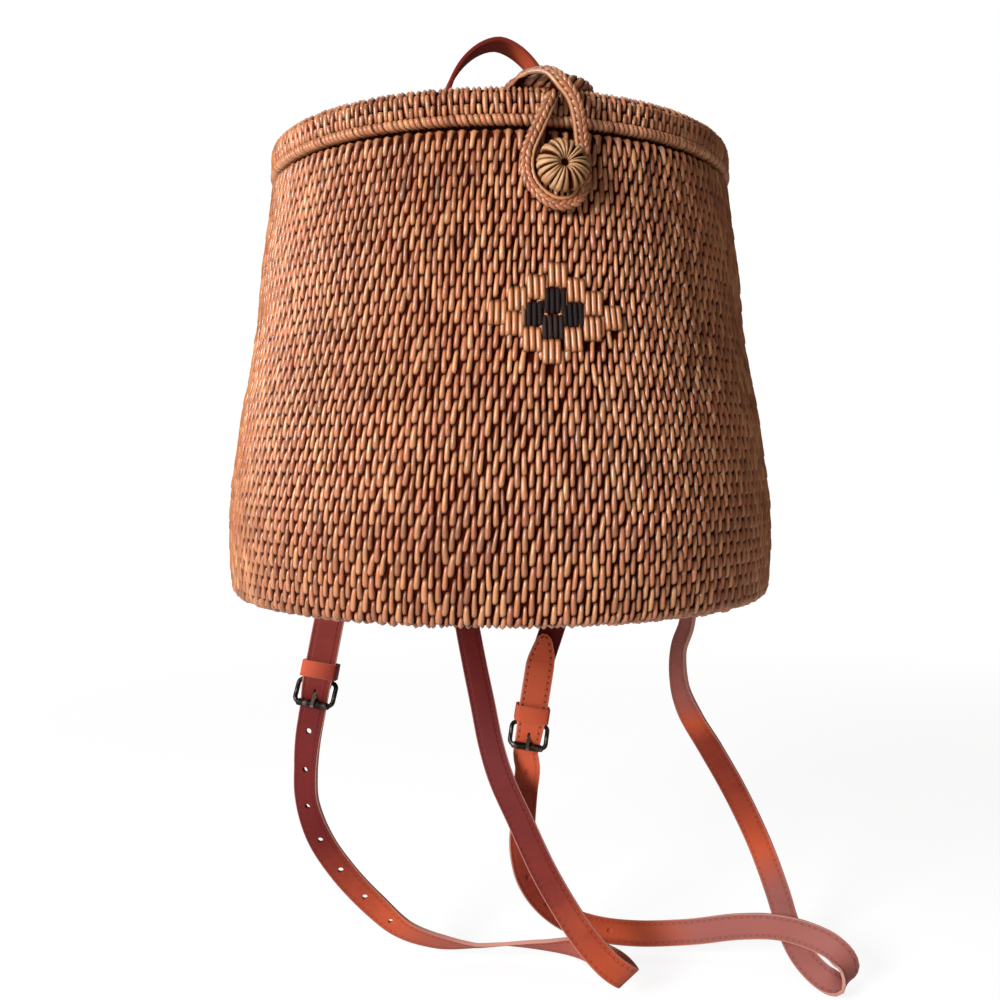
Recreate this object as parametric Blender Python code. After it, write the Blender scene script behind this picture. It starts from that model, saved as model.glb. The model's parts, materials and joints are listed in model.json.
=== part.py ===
"""Pack basket: a round coiled cane basket with a hinged lid, a loop and button
closure, a leather lid handle and two buckled leather shoulder straps.

Units are metres, +Z is up and the front faces -Y. The origin is the centre of
the underside of the base.
"""
import math

import bmesh
import bpy
from mathutils import Matrix, Vector

# Woven body
BASE_RADIUS = 0.140
RIM_RADIUS = 0.1165
BODY_HEIGHT = 0.206
WALL_THICKNESS = 0.0055
BASE_THICKNESS = 0.0065
BASE_EDGE_ROUNDING = 0.0055
BODY_RIM_HEIGHT = 0.006
BODY_RIM_THICKNESS = 0.0065
COLLAR_RISE = 0.008
COLLAR_DEPTH = 0.014
COLLAR_THICKNESS = 0.0025
RIM_ROUNDING = 0.002
TOUCH_GAP = 0.0003
ROUND_STEPS = 60

# Seams between the weave's main coils, cut into its outer face
COIL_SEAM_PITCH = 0.030
COIL_SEAM_DEPTH = 0.0012
COIL_SEAM_HALF_WIDTH = 0.0014

# How far the wall has flared from the rim radius to the base radius, against
# its height, both as shares
FLARE_SHARES = (
    (0.03, 0.955), (0.08, 0.99), (0.15, 1.0), (0.22, 0.975), (0.32, 0.86), (0.43, 0.725),
    (0.54, 0.525), (0.65, 0.36), (0.78, 0.265), (0.90, 0.11), (1.0, 0.0),
)

# Lid
LID_RIM_HEIGHT = 0.0065
LID_RIM_OVERHANG = 0.0017
LID_COLLAR_CLEARANCE = 0.0011
LID_HEIGHT = 0.0170
LID_THICKNESS = 0.0045
LID_SKIRT_OVERHANG = 0.0007
LID_EDGE_ROUNDING = 0.005
LID_DOME_RISE = 0.005
LID_DOME_SHARES = (0.45, 0.8)

# Ring hinges at the back, one cane ring through both rims on each side
HINGE_RING_RADIUS = 0.005
HINGE_CANE_RADIUS = 0.0012
HINGE_SPACING = 0.040
HINGE_SETBACK = 0.0006
HINGE_HOLE_CLEARANCE = 0.0004

# Leather
STRAP_WIDTH = 0.0165
LEATHER_THICKNESS = 0.0024
LEATHER_GAP = 0.0004
STRAP_STEP = 0.0105
HOLE_RADIUS = 0.0018
HOLE_PITCH = 0.025
HOLE_COUNT = 7
TIP_LENGTH = 0.021
TIP_SHARES = ((0.0, 0.16), (0.08, 0.42), (0.4, 0.72), (0.75, 0.94), (1.0, 1.0))

# Rivets
RIVET_CAP_RADIUS = 0.004
RIVET_CAP_HEIGHT = 0.0014
RIVET_CROWN_SHARE = 0.6
RIVET_SHANK_RADIUS = 0.0014
RIVET_HOLE_CLEARANCE = 0.0003
RIVET_PITCH = 0.014
RIVET_STEPS = 8

# Where the leather is riveted to the wall: angles are from the back centre line
STRAP_ANCHOR_ANGLE = math.radians(16.0)
STRAP_ANCHOR_DROP = 0.016
STRAP_ANCHOR_LENGTH = 0.030
STRAP_LEFT_TILT = math.radians(10.0)
STRAP_RIGHT_TILT = math.radians(34.0)
TAB_ANGLE = math.radians(38.0)
TAB_TOP_HEIGHT = 0.048
TAB_ANCHOR_LENGTH = 0.030
TAB_TILT = math.radians(6.0)
ANCHOR_PEEL = 0.0016
# Places along a riveted end and how far each has come off the wall, as shares
ANCHOR_SHARES = ((0.0, 0.0), (0.35, 0.0), (0.7, 0.0), (1.0, 1.0))

# Buckle, keeper and the folded tab that carries them
BAR_RADIUS = 0.0014
FRAME_INNER_WIDTH = 0.021
FRAME_BAR_SPACING = 0.015
FRAME_CORNER_RADIUS = 0.004
FRAME_TILT = math.radians(20.0)
PRONG_WIDTH = 0.002
PRONG_THICKNESS = 0.0019
PRONG_EYE_CLEARANCE = 0.0002
PRONG_OVERHANG = 0.0022
TAB_SLOT_HALF_LENGTH = 0.0048
TAB_MERGE = 0.009
TAB_STRAIGHT = 0.036
PRONG_SLOT_CLEARANCE = 0.0005
PRONG_SLOT_TOP = -0.0006
PRONG_SLOT_END = 0.0112
KEEPER_LENGTH = 0.010
KEEPER_THICKNESS = 0.0015
KEEPER_CLEARANCE = 0.0004
KEEPER_SIDE_CLEARANCE = 0.0016
KEEPER_OFFSET = 0.0022
KEEPER_ROUNDING = 0.0012
FREE_END_LEFT = 0.070
FREE_END_RIGHT = 0.0605

# Handle strip on the lid
HANDLE_WIDTH = 0.016
HANDLE_HEIGHT = 0.0585
HANDLE_FOOT_REACH = 0.046
HANDLE_FOOT_BEND = 0.033
HANDLE_RIVET_REACH = 0.0395
HANDLE_SETBACK = 0.006
# Half of the arch: reach from its middle and height above the lid, as shares
HANDLE_ARCH_SHARES = ((0.93, 0.09), (0.90, 0.30), (0.80, 0.58), (0.60, 0.79), (0.31, 0.94))

# Closure
BUTTON_DROP = 0.0174
BUTTON_RADIUS = 0.0112
BUTTON_THICKNESS = 0.0068
BUTTON_EDGE = 0.0022
BUTTON_EYE_RADIUS = 0.0013
BUTTON_STANDOFF = 0.0050
CORD_RADIUS = 0.0015
CORD_CLEARANCE = 0.0003
CORD_KNOT_RADIUS = 0.0042
ROSETTE_RADIUS = 0.016
ROSETTE_CANE_RADIUS = 0.0042
ROSETTE_SETBACK = 0.0205
ROSETTE_TILT = math.radians(4.0)
LOOP_WIDTH = 0.006
LOOP_THICKNESS = 0.003
LOOP_STEP = 0.005
# The loop's end lies over the rosette: places from its middle, as shares of
# its radius
LOOP_OVER_SHARES = (
    (-1.25, -0.78, -0.07), (-1.0, -1.09, 0.07), (-0.69, -1.34, 0.13), (-0.39, -1.56, 0.01),
)
# Then it hangs round the button and tucks back behind itself: sideways as
# shares of the button's radius, down as shares of the way to the button, and
# outwards as shares of its own thickness
LOOP_HANG_SHARES = (
    (-0.16, 0.0, 1.4), (0.25, 0.2, 1.33), (0.5, 0.42, 0.73), (0.66, 0.67, 0.2), (0.77, 0.94, 0.0),
    (0.73, 1.21, 0.0), (0.43, 1.39, 0.0), (-0.23, 1.46, 0.0), (-0.82, 1.38, 0.0), (-1.25, 1.21, 0.0),
    (-1.38, 1.01, 0.0), (-1.3, 0.81, 0.0), (-1.05, 0.61, 0.0), (-0.77, 0.41, 0.0), (-0.5, 0.22, 0.0),
    (-0.25, 0.04, 0.0),
)

# Below the base the leather hangs by hand-laid places: sideways and back as
# shares of the base's radius, and up as shares of how far the straps hang
STRAP_HANG = 0.264
STRAP_STANDOFF = 0.012
# The heel bar's middle, the way down the strap and the way across it
BUCKLE_LEFT_SHARES = ((-0.655, 0.826, -0.278), (-0.20, -0.10, -0.975), (0.98, -0.22, 0.0))
BUCKLE_RIGHT_SHARES = ((0.33, 0.829, -0.413), (-0.17, -0.03, -0.985), (0.96, -0.21, -0.17))

# Tab routes between the wall and the buckle: places and the way across
TAB_LEFT_ROUTE_SHARES = (
    ((-0.643, 0.921, -0.008), (0.88, 0.47, 0.0)),
    ((-0.636, 0.929, -0.076), (0.98, 0.15, 0.0)),
)
TAB_RIGHT_ROUTE_SHARES = (
    ((0.564, 0.889, -0.019), (0.86, -0.50, 0.0)),
    ((0.5, 0.886, -0.11), (0.93, -0.36, -0.06)),
    ((0.436, 0.868, -0.197), (0.95, -0.25, -0.14)),
)

# Strap routes below the buckles, laid by hand: places and the way across
STRAP_LEFT_ROUTE_SHARES = (
    ((-0.706, 0.808, -0.417), (0.90, -0.44, 0.00)),
    ((-0.715, 0.817, -0.486), (0.81, -0.59, 0.00)),
    ((-0.711, 0.838, -0.567), (0.78, -0.58, 0.20)),
    ((-0.654, 0.862, -0.667), (0.74, -0.30, 0.60)),
    ((-0.545, 0.874, -0.763), (0.60, -0.20, 0.77)),
    ((-0.405, 0.88, -0.852), (0.55, -0.22, 0.80)),
    ((-0.264, 0.893, -0.925), (0.40, -0.50, 0.77)),
    ((-0.084, 0.896, -0.968), (0.18, -0.66, 0.73)),
    ((0.075, 0.891, -0.985), (-0.10, -0.85, 0.50)),
    ((0.224, 0.857, -0.981), (-0.15, -0.88, 0.45)),
    ((0.398, 0.775, -0.973), (-0.04, -0.75, 0.67)),
    ((0.555, 0.667, -0.964), (0.30, -0.46, 0.83)),
    ((0.661, 0.529, -0.97), (0.58, -0.13, 0.81)),
    ((0.668, 0.389, -0.966), (0.78, 0.00, 0.62)),
    ((0.571, 0.356, -0.924), (0.80, 0.02, 0.60)),
    ((0.471, 0.393, -0.863), (0.77, -0.10, 0.62)),
    ((0.391, 0.469, -0.797), (0.80, -0.18, 0.58)),
    ((0.314, 0.545, -0.72), (0.79, -0.18, 0.58)),
    ((0.234, 0.636, -0.618), (0.81, -0.18, 0.55)),
    ((0.165, 0.724, -0.527), (0.86, -0.18, 0.47)),
    ((0.134, 0.804, -0.455), (0.92, -0.21, 0.34)),
    ((0.114, 0.9, -0.364), (0.95, -0.20, 0.24)),
    ((0.089, 0.986, -0.265), (0.97, -0.18, 0.18)),
    ((0.057, 1.043, -0.144), (0.98, -0.12, 0.12)),
)
STRAP_RIGHT_ROUTE_SHARES = (
    ((0.309, 0.795, -0.519), (0.98, -0.22, 0.00)),
    ((0.3, 0.804, -0.577), (0.98, -0.20, 0.00)),
    ((0.292, 0.814, -0.652), (0.98, -0.14, 0.08)),
    ((0.289, 0.829, -0.729), (0.98, -0.02, 0.18)),
    ((0.324, 0.85, -0.81), (0.90, 0.13, 0.41)),
    ((0.404, 0.861, -0.878), (0.78, 0.20, 0.61)),
    ((0.521, 0.865, -0.932), (0.58, 0.33, 0.74)),
    ((0.663, 0.848, -0.962), (0.35, 0.44, 0.83)),
    ((0.856, 0.805, -0.975), (0.20, 0.50, 0.84)),
    ((1.099, 0.722, -0.964), (0.05, 0.42, 0.90)),
    ((1.316, 0.63, -0.939), (-0.01, 0.25, 0.96)),
    ((1.459, 0.529, -0.922), (0.04, -0.01, 1.00)),
    ((1.578, 0.429, -0.924), (0.23, -0.05, 0.97)),
    ((1.654, 0.319, -0.936), (0.60, -0.10, 0.78)),
    ((1.668, 0.236, -0.964), (0.70, -0.50, 0.50)),
    ((1.619, 0.207, -0.992), (0.55, -0.75, 0.36)),
    ((1.561, 0.3, -1.0), (0.70, -0.60, 0.36)),
    ((1.55, 0.457, -0.992), (0.85, -0.40, 0.34)),
    ((1.562, 0.607, -0.962), (0.88, -0.40, 0.25)),
    ((1.543, 0.686, -0.871), (0.85, -0.48, 0.20)),
    ((1.454, 0.701, -0.745), (0.82, -0.55, 0.10)),
    ((1.324, 0.707, -0.604), (0.84, -0.50, 0.16)),
    ((1.194, 0.707, -0.487), (0.80, -0.55, 0.20)),
    ((1.08, 0.697, -0.391), (0.72, -0.68, 0.12)),
    ((1.021, 0.681, -0.313), (0.52, -0.85, 0.08)),
    ((1.004, 0.656, -0.221), (0.40, -0.91, 0.04)),
    ((1.031, 0.62, -0.148), (0.40, -0.91, 0.00)),
)
# Behind the wall: round from the back as shares of the anchor's angle, up as
# shares of the anchor's height and off the wall as shares of the stand-off
STRAP_LEFT_BACK_SHARES = (
    ((-0.1, 0.0, 0.92), (0.99, -0.06, 0.10)),
    ((-0.01, 0.211, 0.95), (0.99, 0.00, 0.14)),
    ((0.16, 0.421, 1.1), (0.98, 0.05, 0.18)),
    ((0.38, 0.605, 1.05), (0.97, 0.12, 0.20)),
    ((0.61, 0.753, 0.64), (0.96, 0.20, 0.18)),
)
STRAP_RIGHT_BACK_SHARES = (
    ((3.64, -0.026, 2.67), (0.44, -0.89, 0.00)),
    ((3.45, 0.184, 2.66), (0.52, -0.85, 0.04)),
    ((3.13, 0.395, 2.73), (0.60, -0.79, 0.14)),
    ((2.69, 0.589, 2.72), (0.70, -0.66, 0.28)),
    ((2.14, 0.747, 2.36), (0.78, -0.48, 0.40)),
)

# Finishes: colour, roughness and metallic value
FINISHES = {
    "cane": ((0.36, 0.17, 0.07), 0.5, 0.0),
    "cane_rim": ((0.42, 0.20, 0.08), 0.45, 0.0),
    "cane_inner": ((0.27, 0.13, 0.06), 0.65, 0.0),
    "straw": ((0.62, 0.44, 0.20), 0.45, 0.0),
    "leather": ((0.42, 0.09, 0.04), 0.45, 0.0),
    "antique_metal": ((0.09, 0.075, 0.055), 0.4, 0.9),
}


def clear_scene():
    for item in list(bpy.data.objects):
        bpy.data.objects.remove(item, do_unlink=True)


def finish(name):
    """The named material, made once and then shared as a copy of its values."""
    colour, roughness, metallic = FINISHES[name]
    material = bpy.data.materials.new(name)
    material.use_nodes = True
    shader = material.node_tree.nodes["Principled BSDF"]
    shader.inputs["Base Color"].default_value = (*colour, 1.0)
    shader.inputs["Roughness"].default_value = roughness
    shader.inputs["Metallic"].default_value = metallic
    return material


def add_piece(name, mesh_builder, finish_name, location=(0, 0, 0), smooth_angle=math.radians(35.0)):
    """Turn a bmesh into one named object with its own material."""
    mesh = bpy.data.meshes.new(name)
    bmesh.ops.recalc_face_normals(mesh_builder, faces=mesh_builder.faces)
    mesh_builder.to_mesh(mesh)
    mesh_builder.free()
    mesh.shade_smooth()
    mesh.set_sharp_from_angle(angle=smooth_angle)
    mesh.materials.append(finish(finish_name))
    piece = bpy.data.objects.new(name, mesh)
    piece.location = location
    bpy.context.scene.collection.objects.link(piece)
    return piece


def hide_cutter(cutter):
    cutter.hide_render = True
    cutter.display_type = "WIRE"


def cut(piece, cutter, operation="DIFFERENCE"):
    """Cut or join one piece with a hidden tool object."""
    hide_cutter(cutter)
    boolean = piece.modifiers.new(cutter.name, "BOOLEAN")
    boolean.operation = operation
    boolean.solver = "EXACT"
    boolean.object = cutter


def turned(profile, steps=ROUND_STEPS):
    """Turn a closed (radius, height) outline about Z into a closed ring."""
    builder = bmesh.new()
    rings = []
    for step in range(steps):
        angle = 2 * math.pi * step / steps
        rings.append([
            builder.verts.new((radius * math.cos(angle), radius * math.sin(angle), height))
            for radius, height in profile
        ])
    count = len(profile)
    for step in range(steps):
        ring, after = rings[step], rings[(step + 1) % steps]
        for index in range(count):
            onward = (index + 1) % count
            builder.faces.new((ring[index], after[index], after[onward], ring[onward]))
    return builder


def turned_solid(profile, steps=ROUND_STEPS):
    """Turn an open (radius, height) outline into a solid with flat ends at the axis."""
    builder = bmesh.new()
    rings = []
    for radius, height in profile:
        rings.append([
            builder.verts.new((
                radius * math.cos(2 * math.pi * step / steps),
                radius * math.sin(2 * math.pi * step / steps),
                height,
            ))
            for step in range(steps)
        ])
    for lower, upper in zip(rings, rings[1:]):
        for step in range(steps):
            onward = (step + 1) % steps
            builder.faces.new((lower[step], lower[onward], upper[onward], upper[step]))
    builder.faces.new(rings[0])
    builder.faces.new(rings[-1])
    return builder


def arc(centre, radius, start, end, steps):
    """Points of a round corner, angles in radians."""
    return [
        (
            centre[0] + radius * math.cos(start + (end - start) * step / steps),
            centre[1] + radius * math.sin(start + (end - start) * step / steps),
        )
        for step in range(steps + 1)
    ]


def interpolate(shares, place):
    """Read a table of (place, value) shares at one place."""
    for (low, low_value), (high, high_value) in zip(shares, shares[1:]):
        if place <= high:
            blend = (place - low) / (high - low)
            return low_value + (high_value - low_value) * max(blend, 0.0)
    return shares[-1][1]


def wall_radius(height):
    flare = interpolate(FLARE_SHARES, height / BODY_HEIGHT)
    return RIM_RADIUS + (BASE_RADIUS - RIM_RADIUS) * flare


def wall_frame(angle, height):
    """A place on the wall's outer face, with its outward, sideways and upward ways."""
    reach = BODY_RIM_HEIGHT
    slope = (wall_radius(height + reach) - wall_radius(height - reach)) / (2 * reach)
    radial = Vector((math.sin(angle), math.cos(angle), 0.0))
    sideways = Vector((math.cos(angle), -math.sin(angle), 0.0))
    upward = (radial * slope + Vector((0, 0, 1))).normalized()
    outward = sideways.cross(upward).normalized()
    if outward.dot(radial) < 0:
        outward = -outward
    facet = math.cos(math.pi / ROUND_STEPS)
    place = radial * wall_radius(height) * (1 + facet) / 2 + Vector((0, 0, height))
    return place, outward, sideways, upward


def lid_base_height():
    return BODY_HEIGHT + TOUCH_GAP


def lid_top_height():
    return BODY_HEIGHT + LID_HEIGHT


def lid_surface(reach):
    """Height of the lid's top at a distance from its middle."""
    edge = RIM_RADIUS + LID_SKIRT_OVERHANG - LID_EDGE_ROUNDING
    share = min(reach / edge, 1.0)
    return lid_top_height() + LID_DOME_RISE * (1 - share * share)


# Woven body
def make_base():
    outer = wall_radius(BASE_THICKNESS)
    corner = (outer - BASE_EDGE_ROUNDING, BASE_EDGE_ROUNDING)
    profile = arc(corner, BASE_EDGE_ROUNDING, -math.pi / 2, 0.0, 2)
    profile.append((outer, BASE_THICKNESS))
    return add_piece("basket_base", turned_solid(profile), "cane")


def coil_seams(first, last):
    """Middles of the seams between two places, a pitch apart."""
    count = int((last - first) / COIL_SEAM_PITCH)
    return [first + COIL_SEAM_PITCH * (index + 1) for index in range(count)]


def seamed(places, seams):
    """Pairs of a place and how deep it is cut. Each seam's notch also follows the
    outline, so between the first and the last seam it needs no places of its own."""
    clear = COIL_SEAM_HALF_WIDTH * 2
    cuts = [(place, 0.0) for place in places if place < seams[0] - clear or place > seams[-1] + clear]
    for seam in seams:
        cuts += [
            (seam - COIL_SEAM_HALF_WIDTH, 0.0), (seam, COIL_SEAM_DEPTH), (seam + COIL_SEAM_HALF_WIDTH, 0.0)
        ]
    return sorted(cuts)


def make_wall():
    bottom = BASE_THICKNESS + TOUCH_GAP
    top = BODY_HEIGHT - BODY_RIM_HEIGHT - TOUCH_GAP
    heights = [bottom]
    heights += [share * BODY_HEIGHT for share, _ in FLARE_SHARES if bottom < share * BODY_HEIGHT < top]
    heights.append(top)
    seams = coil_seams(bottom, button_height() - BUTTON_RADIUS * 2)
    outer = [(wall_radius(height) - depth, height) for height, depth in seamed(heights, seams)]
    inner = [(wall_radius(height) - WALL_THICKNESS, height) for height in reversed(heights)]
    return add_piece("basket_wall", turned(outer + inner), "cane")


def rim_profile(outer, thickness, low, high):
    """A band with its two outer corners rounded."""
    profile = arc((outer - RIM_ROUNDING, low + RIM_ROUNDING), RIM_ROUNDING, -math.pi / 2, 0.0, 1)
    profile += arc((outer - RIM_ROUNDING, high - RIM_ROUNDING), RIM_ROUNDING, 0.0, math.pi / 2, 1)
    return profile + [(outer - thickness, high), (outer - thickness, low)]


def make_body_rim():
    low = BODY_HEIGHT - BODY_RIM_HEIGHT
    return add_piece(
        "basket_rim", turned(rim_profile(RIM_RADIUS, BODY_RIM_THICKNESS, low, BODY_HEIGHT)), "cane"
    )


def collar_outer_radius():
    return RIM_RADIUS - BODY_RIM_THICKNESS - TOUCH_GAP


def make_collar():
    outer = collar_outer_radius()
    inner = outer - COLLAR_THICKNESS
    low = BODY_HEIGHT - COLLAR_DEPTH
    high = BODY_HEIGHT + COLLAR_RISE
    lead = COLLAR_THICKNESS / 2
    profile = [(outer, low), (outer, high - lead), (outer - lead, high), (inner, high), (inner, low)]
    return add_piece("inner_collar", turned(profile), "cane_inner")


# Lid
def lid_rim_thickness():
    return RIM_RADIUS + LID_RIM_OVERHANG - collar_outer_radius() - LID_COLLAR_CLEARANCE


def make_lid_rim():
    low = lid_base_height()
    outer = RIM_RADIUS + LID_RIM_OVERHANG
    profile = rim_profile(outer, lid_rim_thickness(), low, low + LID_RIM_HEIGHT)
    return add_piece("lid_rim", turned(profile), "cane_rim")


def make_lid():
    low = lid_base_height() + LID_RIM_HEIGHT + TOUCH_GAP
    top = lid_top_height()
    outer = RIM_RADIUS + LID_SKIRT_OVERHANG
    corner = outer - LID_EDGE_ROUNDING
    profile = [(outer, low)]
    profile += arc((corner, top - LID_EDGE_ROUNDING), LID_EDGE_ROUNDING, 0.0, math.pi / 2, 3)
    reaches = [corner * share for share in LID_DOME_SHARES]
    profile += [
        (reach, lid_surface(reach) - depth)
        for reach, depth in reversed(seamed(reaches, coil_seams(0.0, corner)))
    ]
    inner_corner = corner - TOUCH_GAP
    inner_radius = outer - LID_THICKNESS
    inner = [(inner_radius, low), (inner_radius, top - LID_EDGE_ROUNDING)]
    inner += [(inner_corner, top - LID_THICKNESS)]
    inner += [
        (corner * share, lid_surface(corner * share) - LID_THICKNESS)
        for share in reversed(LID_DOME_SHARES)
    ]
    builder = bmesh.new()
    outline = profile + list(reversed(inner))
    top_pole = builder.verts.new((0, 0, lid_surface(0.0)))
    low_pole = builder.verts.new((0, 0, lid_surface(0.0) - LID_THICKNESS))
    rings = []
    for step in range(ROUND_STEPS):
        angle = 2 * math.pi * step / ROUND_STEPS
        rings.append([
            builder.verts.new((radius * math.cos(angle), radius * math.sin(angle), height))
            for radius, height in outline
        ])
    break_index = len(profile) - 1
    for step in range(ROUND_STEPS):
        ring, after = rings[step], rings[(step + 1) % ROUND_STEPS]
        for index in range(len(outline)):
            onward = (index + 1) % len(outline)
            if index == break_index:
                builder.faces.new((ring[index], after[index], top_pole))
                builder.faces.new((ring[onward], low_pole, after[onward]))
            else:
                builder.faces.new((ring[index], after[index], after[onward], ring[onward]))
    return add_piece("lid_panel", builder, "cane")


def hinge_axis():
    return RIM_RADIUS + LID_RIM_OVERHANG + HINGE_SETBACK, BODY_HEIGHT + TOUCH_GAP / 2


def make_ring(name, centre, ring_radius, cane_radius, finish_name, rotation, major=18, minor=6):
    bpy.ops.mesh.primitive_torus_add(
        major_radius=ring_radius,
        minor_radius=cane_radius,
        major_segments=major,
        minor_segments=minor,
        location=centre,
        rotation=rotation,
    )
    ring = bpy.context.active_object
    ring.name = name
    ring.data.name = name
    ring.data.shade_smooth()
    ring.data.materials.append(finish(finish_name))
    return ring


def make_hinges(body_rim, lid_rim):
    setback, height = hinge_axis()
    upright = (0, math.pi / 2, 0)
    for side, sign in (("left", -1), ("right", 1)):
        centre = (sign * HINGE_SPACING / 2, setback, height)
        make_ring(f"hinge_ring_{side}", centre, HINGE_RING_RADIUS, HINGE_CANE_RADIUS, "cane_rim", upright)
        hole = HINGE_CANE_RADIUS + HINGE_HOLE_CLEARANCE
        for piece in (body_rim, lid_rim):
            cutter = make_ring(
                f"{piece.name}_hinge_hole_{side}", centre, HINGE_RING_RADIUS, hole, "cane", upright
            )
            cut(piece, cutter)


# Leather
def sampled_route(stations, step):
    """A smooth curve through (place, across) stations as evenly spaced rings."""
    places = [Vector(place) for place, _ in stations]
    across = [Vector(way).normalized() for _, way in stations]
    knots = [0.0]
    for before, after in zip(places, places[1:]):
        knots.append(knots[-1] + math.sqrt((after - before).length))
    first = places[0] * 2 - places[1]
    last = places[-1] * 2 - places[-2]
    points = [first] + places + [last]
    times = [knots[0] * 2 - knots[1]] + knots + [knots[-1] * 2 - knots[-2]]
    samples = []
    for index in range(1, len(points) - 2):
        span = (points[index + 1] - points[index]).length
        count = max(1, math.ceil(span / step))
        for part in range(count):
            share = part / count
            time = times[index] + (times[index + 1] - times[index]) * share
            samples.append((
                curve_point(points, times, index, time),
                across[index - 1].lerp(across[index], share),
            ))
    samples.append((places[-1], across[-1]))
    return squared_up(samples)


def curve_point(points, times, index, time):
    """One point of a centripetal Catmull-Rom curve."""
    row = [points[index + offset] for offset in (-1, 0, 1, 2)]
    knots = [times[index + offset] for offset in (-1, 0, 1, 2)]
    spans = ([(0, 1), (1, 2), (2, 3)], [(0, 2), (1, 3)], [(1, 2)])
    for pairs in spans:
        row = [
            row[low].lerp(row[low + 1], (time - knots[begin]) / (knots[end] - knots[begin]))
            for low, (begin, end) in enumerate(pairs)
        ]
    return row[0]


def squared_up(samples):
    """Rings of (place, across, outward, distance), each square to the route."""
    rings = []
    travelled = 0.0
    for index, (place, way) in enumerate(samples):
        before = samples[max(index - 1, 0)][0]
        after = samples[min(index + 1, len(samples) - 1)][0]
        along = (after - before).normalized()
        across = (way - along * way.dot(along)).normalized()
        if index:
            travelled += (place - samples[index - 1][0]).length
        rings.append((place, across, along.cross(across), travelled))
    return rings


def strip(rings, width, thickness, width_share=None):
    """A flat strip of leather or braid through the rings."""
    builder = bmesh.new()
    sections = []
    for place, across, outward, travelled in rings:
        share = 1.0 if width_share is None else width_share(travelled)
        side = across * width * share / 2
        face = outward * thickness / 2
        sections.append([
            builder.verts.new(place + corner)
            for corner in (side + face, -side + face, -side - face, side - face)
        ])
    for section, after in zip(sections, sections[1:]):
        for index in range(4):
            onward = (index + 1) % 4
            builder.faces.new((section[index], section[onward], after[onward], after[index]))
    builder.faces.new(sections[0])
    builder.faces.new(sections[-1])
    return builder


def wall_stations(angle, height, length, tilt, lift):
    """Stations of a strip that lies on the wall and peels off it, from its top end down."""
    stations = []
    for share, peel in ANCHOR_SHARES:
        along = length * share
        drop = along * math.cos(tilt)
        turn = along * math.sin(tilt) / wall_radius(height)
        place, outward, sideways, upward = wall_frame(angle + turn, height - drop)
        across = sideways * math.cos(tilt) + upward * math.sin(tilt)
        stations.append((place + outward * (lift + ANCHOR_PEEL * peel), across))
    return stations


def hung(share):
    """A place below the base, from its shares."""
    return Vector((share[0] * BASE_RADIUS, share[1] * BASE_RADIUS, share[2] * STRAP_HANG))


def hung_route(shares):
    return [(hung(share), across) for share, across in shares]


def strap_anchor_height():
    return BODY_HEIGHT - STRAP_ANCHOR_DROP


def back_route(shares, sign):
    """Places behind the wall, held off it, on the side that the sign gives."""
    route = []
    for (turn, rise, standoff), across in shares:
        height = strap_anchor_height() * rise
        angle = sign * STRAP_ANCHOR_ANGLE * turn
        reach = wall_radius(height) + STRAP_STANDOFF * standoff
        route.append((Vector((reach * math.sin(angle), reach * math.cos(angle), height)), across))
    return route


def buckle_frame(buckle):
    """The buckle's matrix: X against the way across, Y down the strap, Z out of its face."""
    heel = hung(buckle[0])
    down, across = (Vector(value) for value in buckle[1:])
    down.normalize()
    across = (across - down * across.dot(down)).normalized()
    outward = down.cross(across)
    matrix = Matrix((-across, down, outward)).transposed().to_4x4()
    matrix.translation = heel
    return matrix


def way_across(frame):
    return -frame.col[0].to_3d()


def tab_half_thickness():
    return LEATHER_THICKNESS


def fold_outer_radius():
    return BAR_RADIUS + TOUCH_GAP + LEATHER_THICKNESS


def strap_stations(buckle, route, anchor, free_end):
    """From the pointed tip, through keeper and buckle, round the loop and up to the wall."""
    frame = buckle_frame(buckle)
    across = way_across(frame)
    flat = tab_half_thickness() + LEATHER_GAP + LEATHER_THICKNESS / 2
    over_fold = fold_outer_radius() + LEATHER_GAP + LEATHER_THICKNESS / 2
    bar_out = FRAME_BAR_SPACING * math.sin(FRAME_TILT)
    bar_down = FRAME_BAR_SPACING * math.cos(FRAME_TILT)
    under_bar = bar_out - BAR_RADIUS - LEATHER_GAP - LEATHER_THICKNESS / 2
    lift = LEATHER_THICKNESS
    local = [
        (-free_end, flat - lift),
        (-free_end * 0.78, flat - lift / 2),
        (-TAB_STRAIGHT * 1.1, flat),
        (-TAB_STRAIGHT * 0.8, flat),
        (-TAB_MERGE - KEEPER_LENGTH / 2, flat),
        (-TAB_MERGE, flat),
        (-TAB_MERGE * 0.45, (flat + over_fold) / 2 + lift / 8),
        (0.0, over_fold),
        (bar_down * 0.3, over_fold - lift / 5),
        (bar_down * 0.65, (over_fold + under_bar) / 2 - lift / 8),
        (bar_down, under_bar - LEATHER_GAP / 2),
        (bar_down * 1.4, under_bar - lift / 3),
    ]
    stations = [(frame @ Vector((0, down, out)), across) for down, out in local]
    stations += list(route)
    stations += list(reversed(anchor))
    return stations


def tip_share(travelled):
    return interpolate(TIP_SHARES, min(travelled / TIP_LENGTH, 1.0))


def ring_at(rings, distance):
    for ring in rings:
        if ring[3] >= distance:
            return ring
    return rings[-1]


def drill(name, place, way, radius, length, steps=RIVET_STEPS):
    """A round cutter along a direction."""
    bpy.ops.mesh.primitive_cylinder_add(vertices=steps, radius=radius, depth=length)
    cutter = bpy.context.active_object
    cutter.name = name
    cutter.matrix_world = Matrix.Translation(place) @ way.to_track_quat("Z", "Y").to_matrix().to_4x4()
    return cutter


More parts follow.
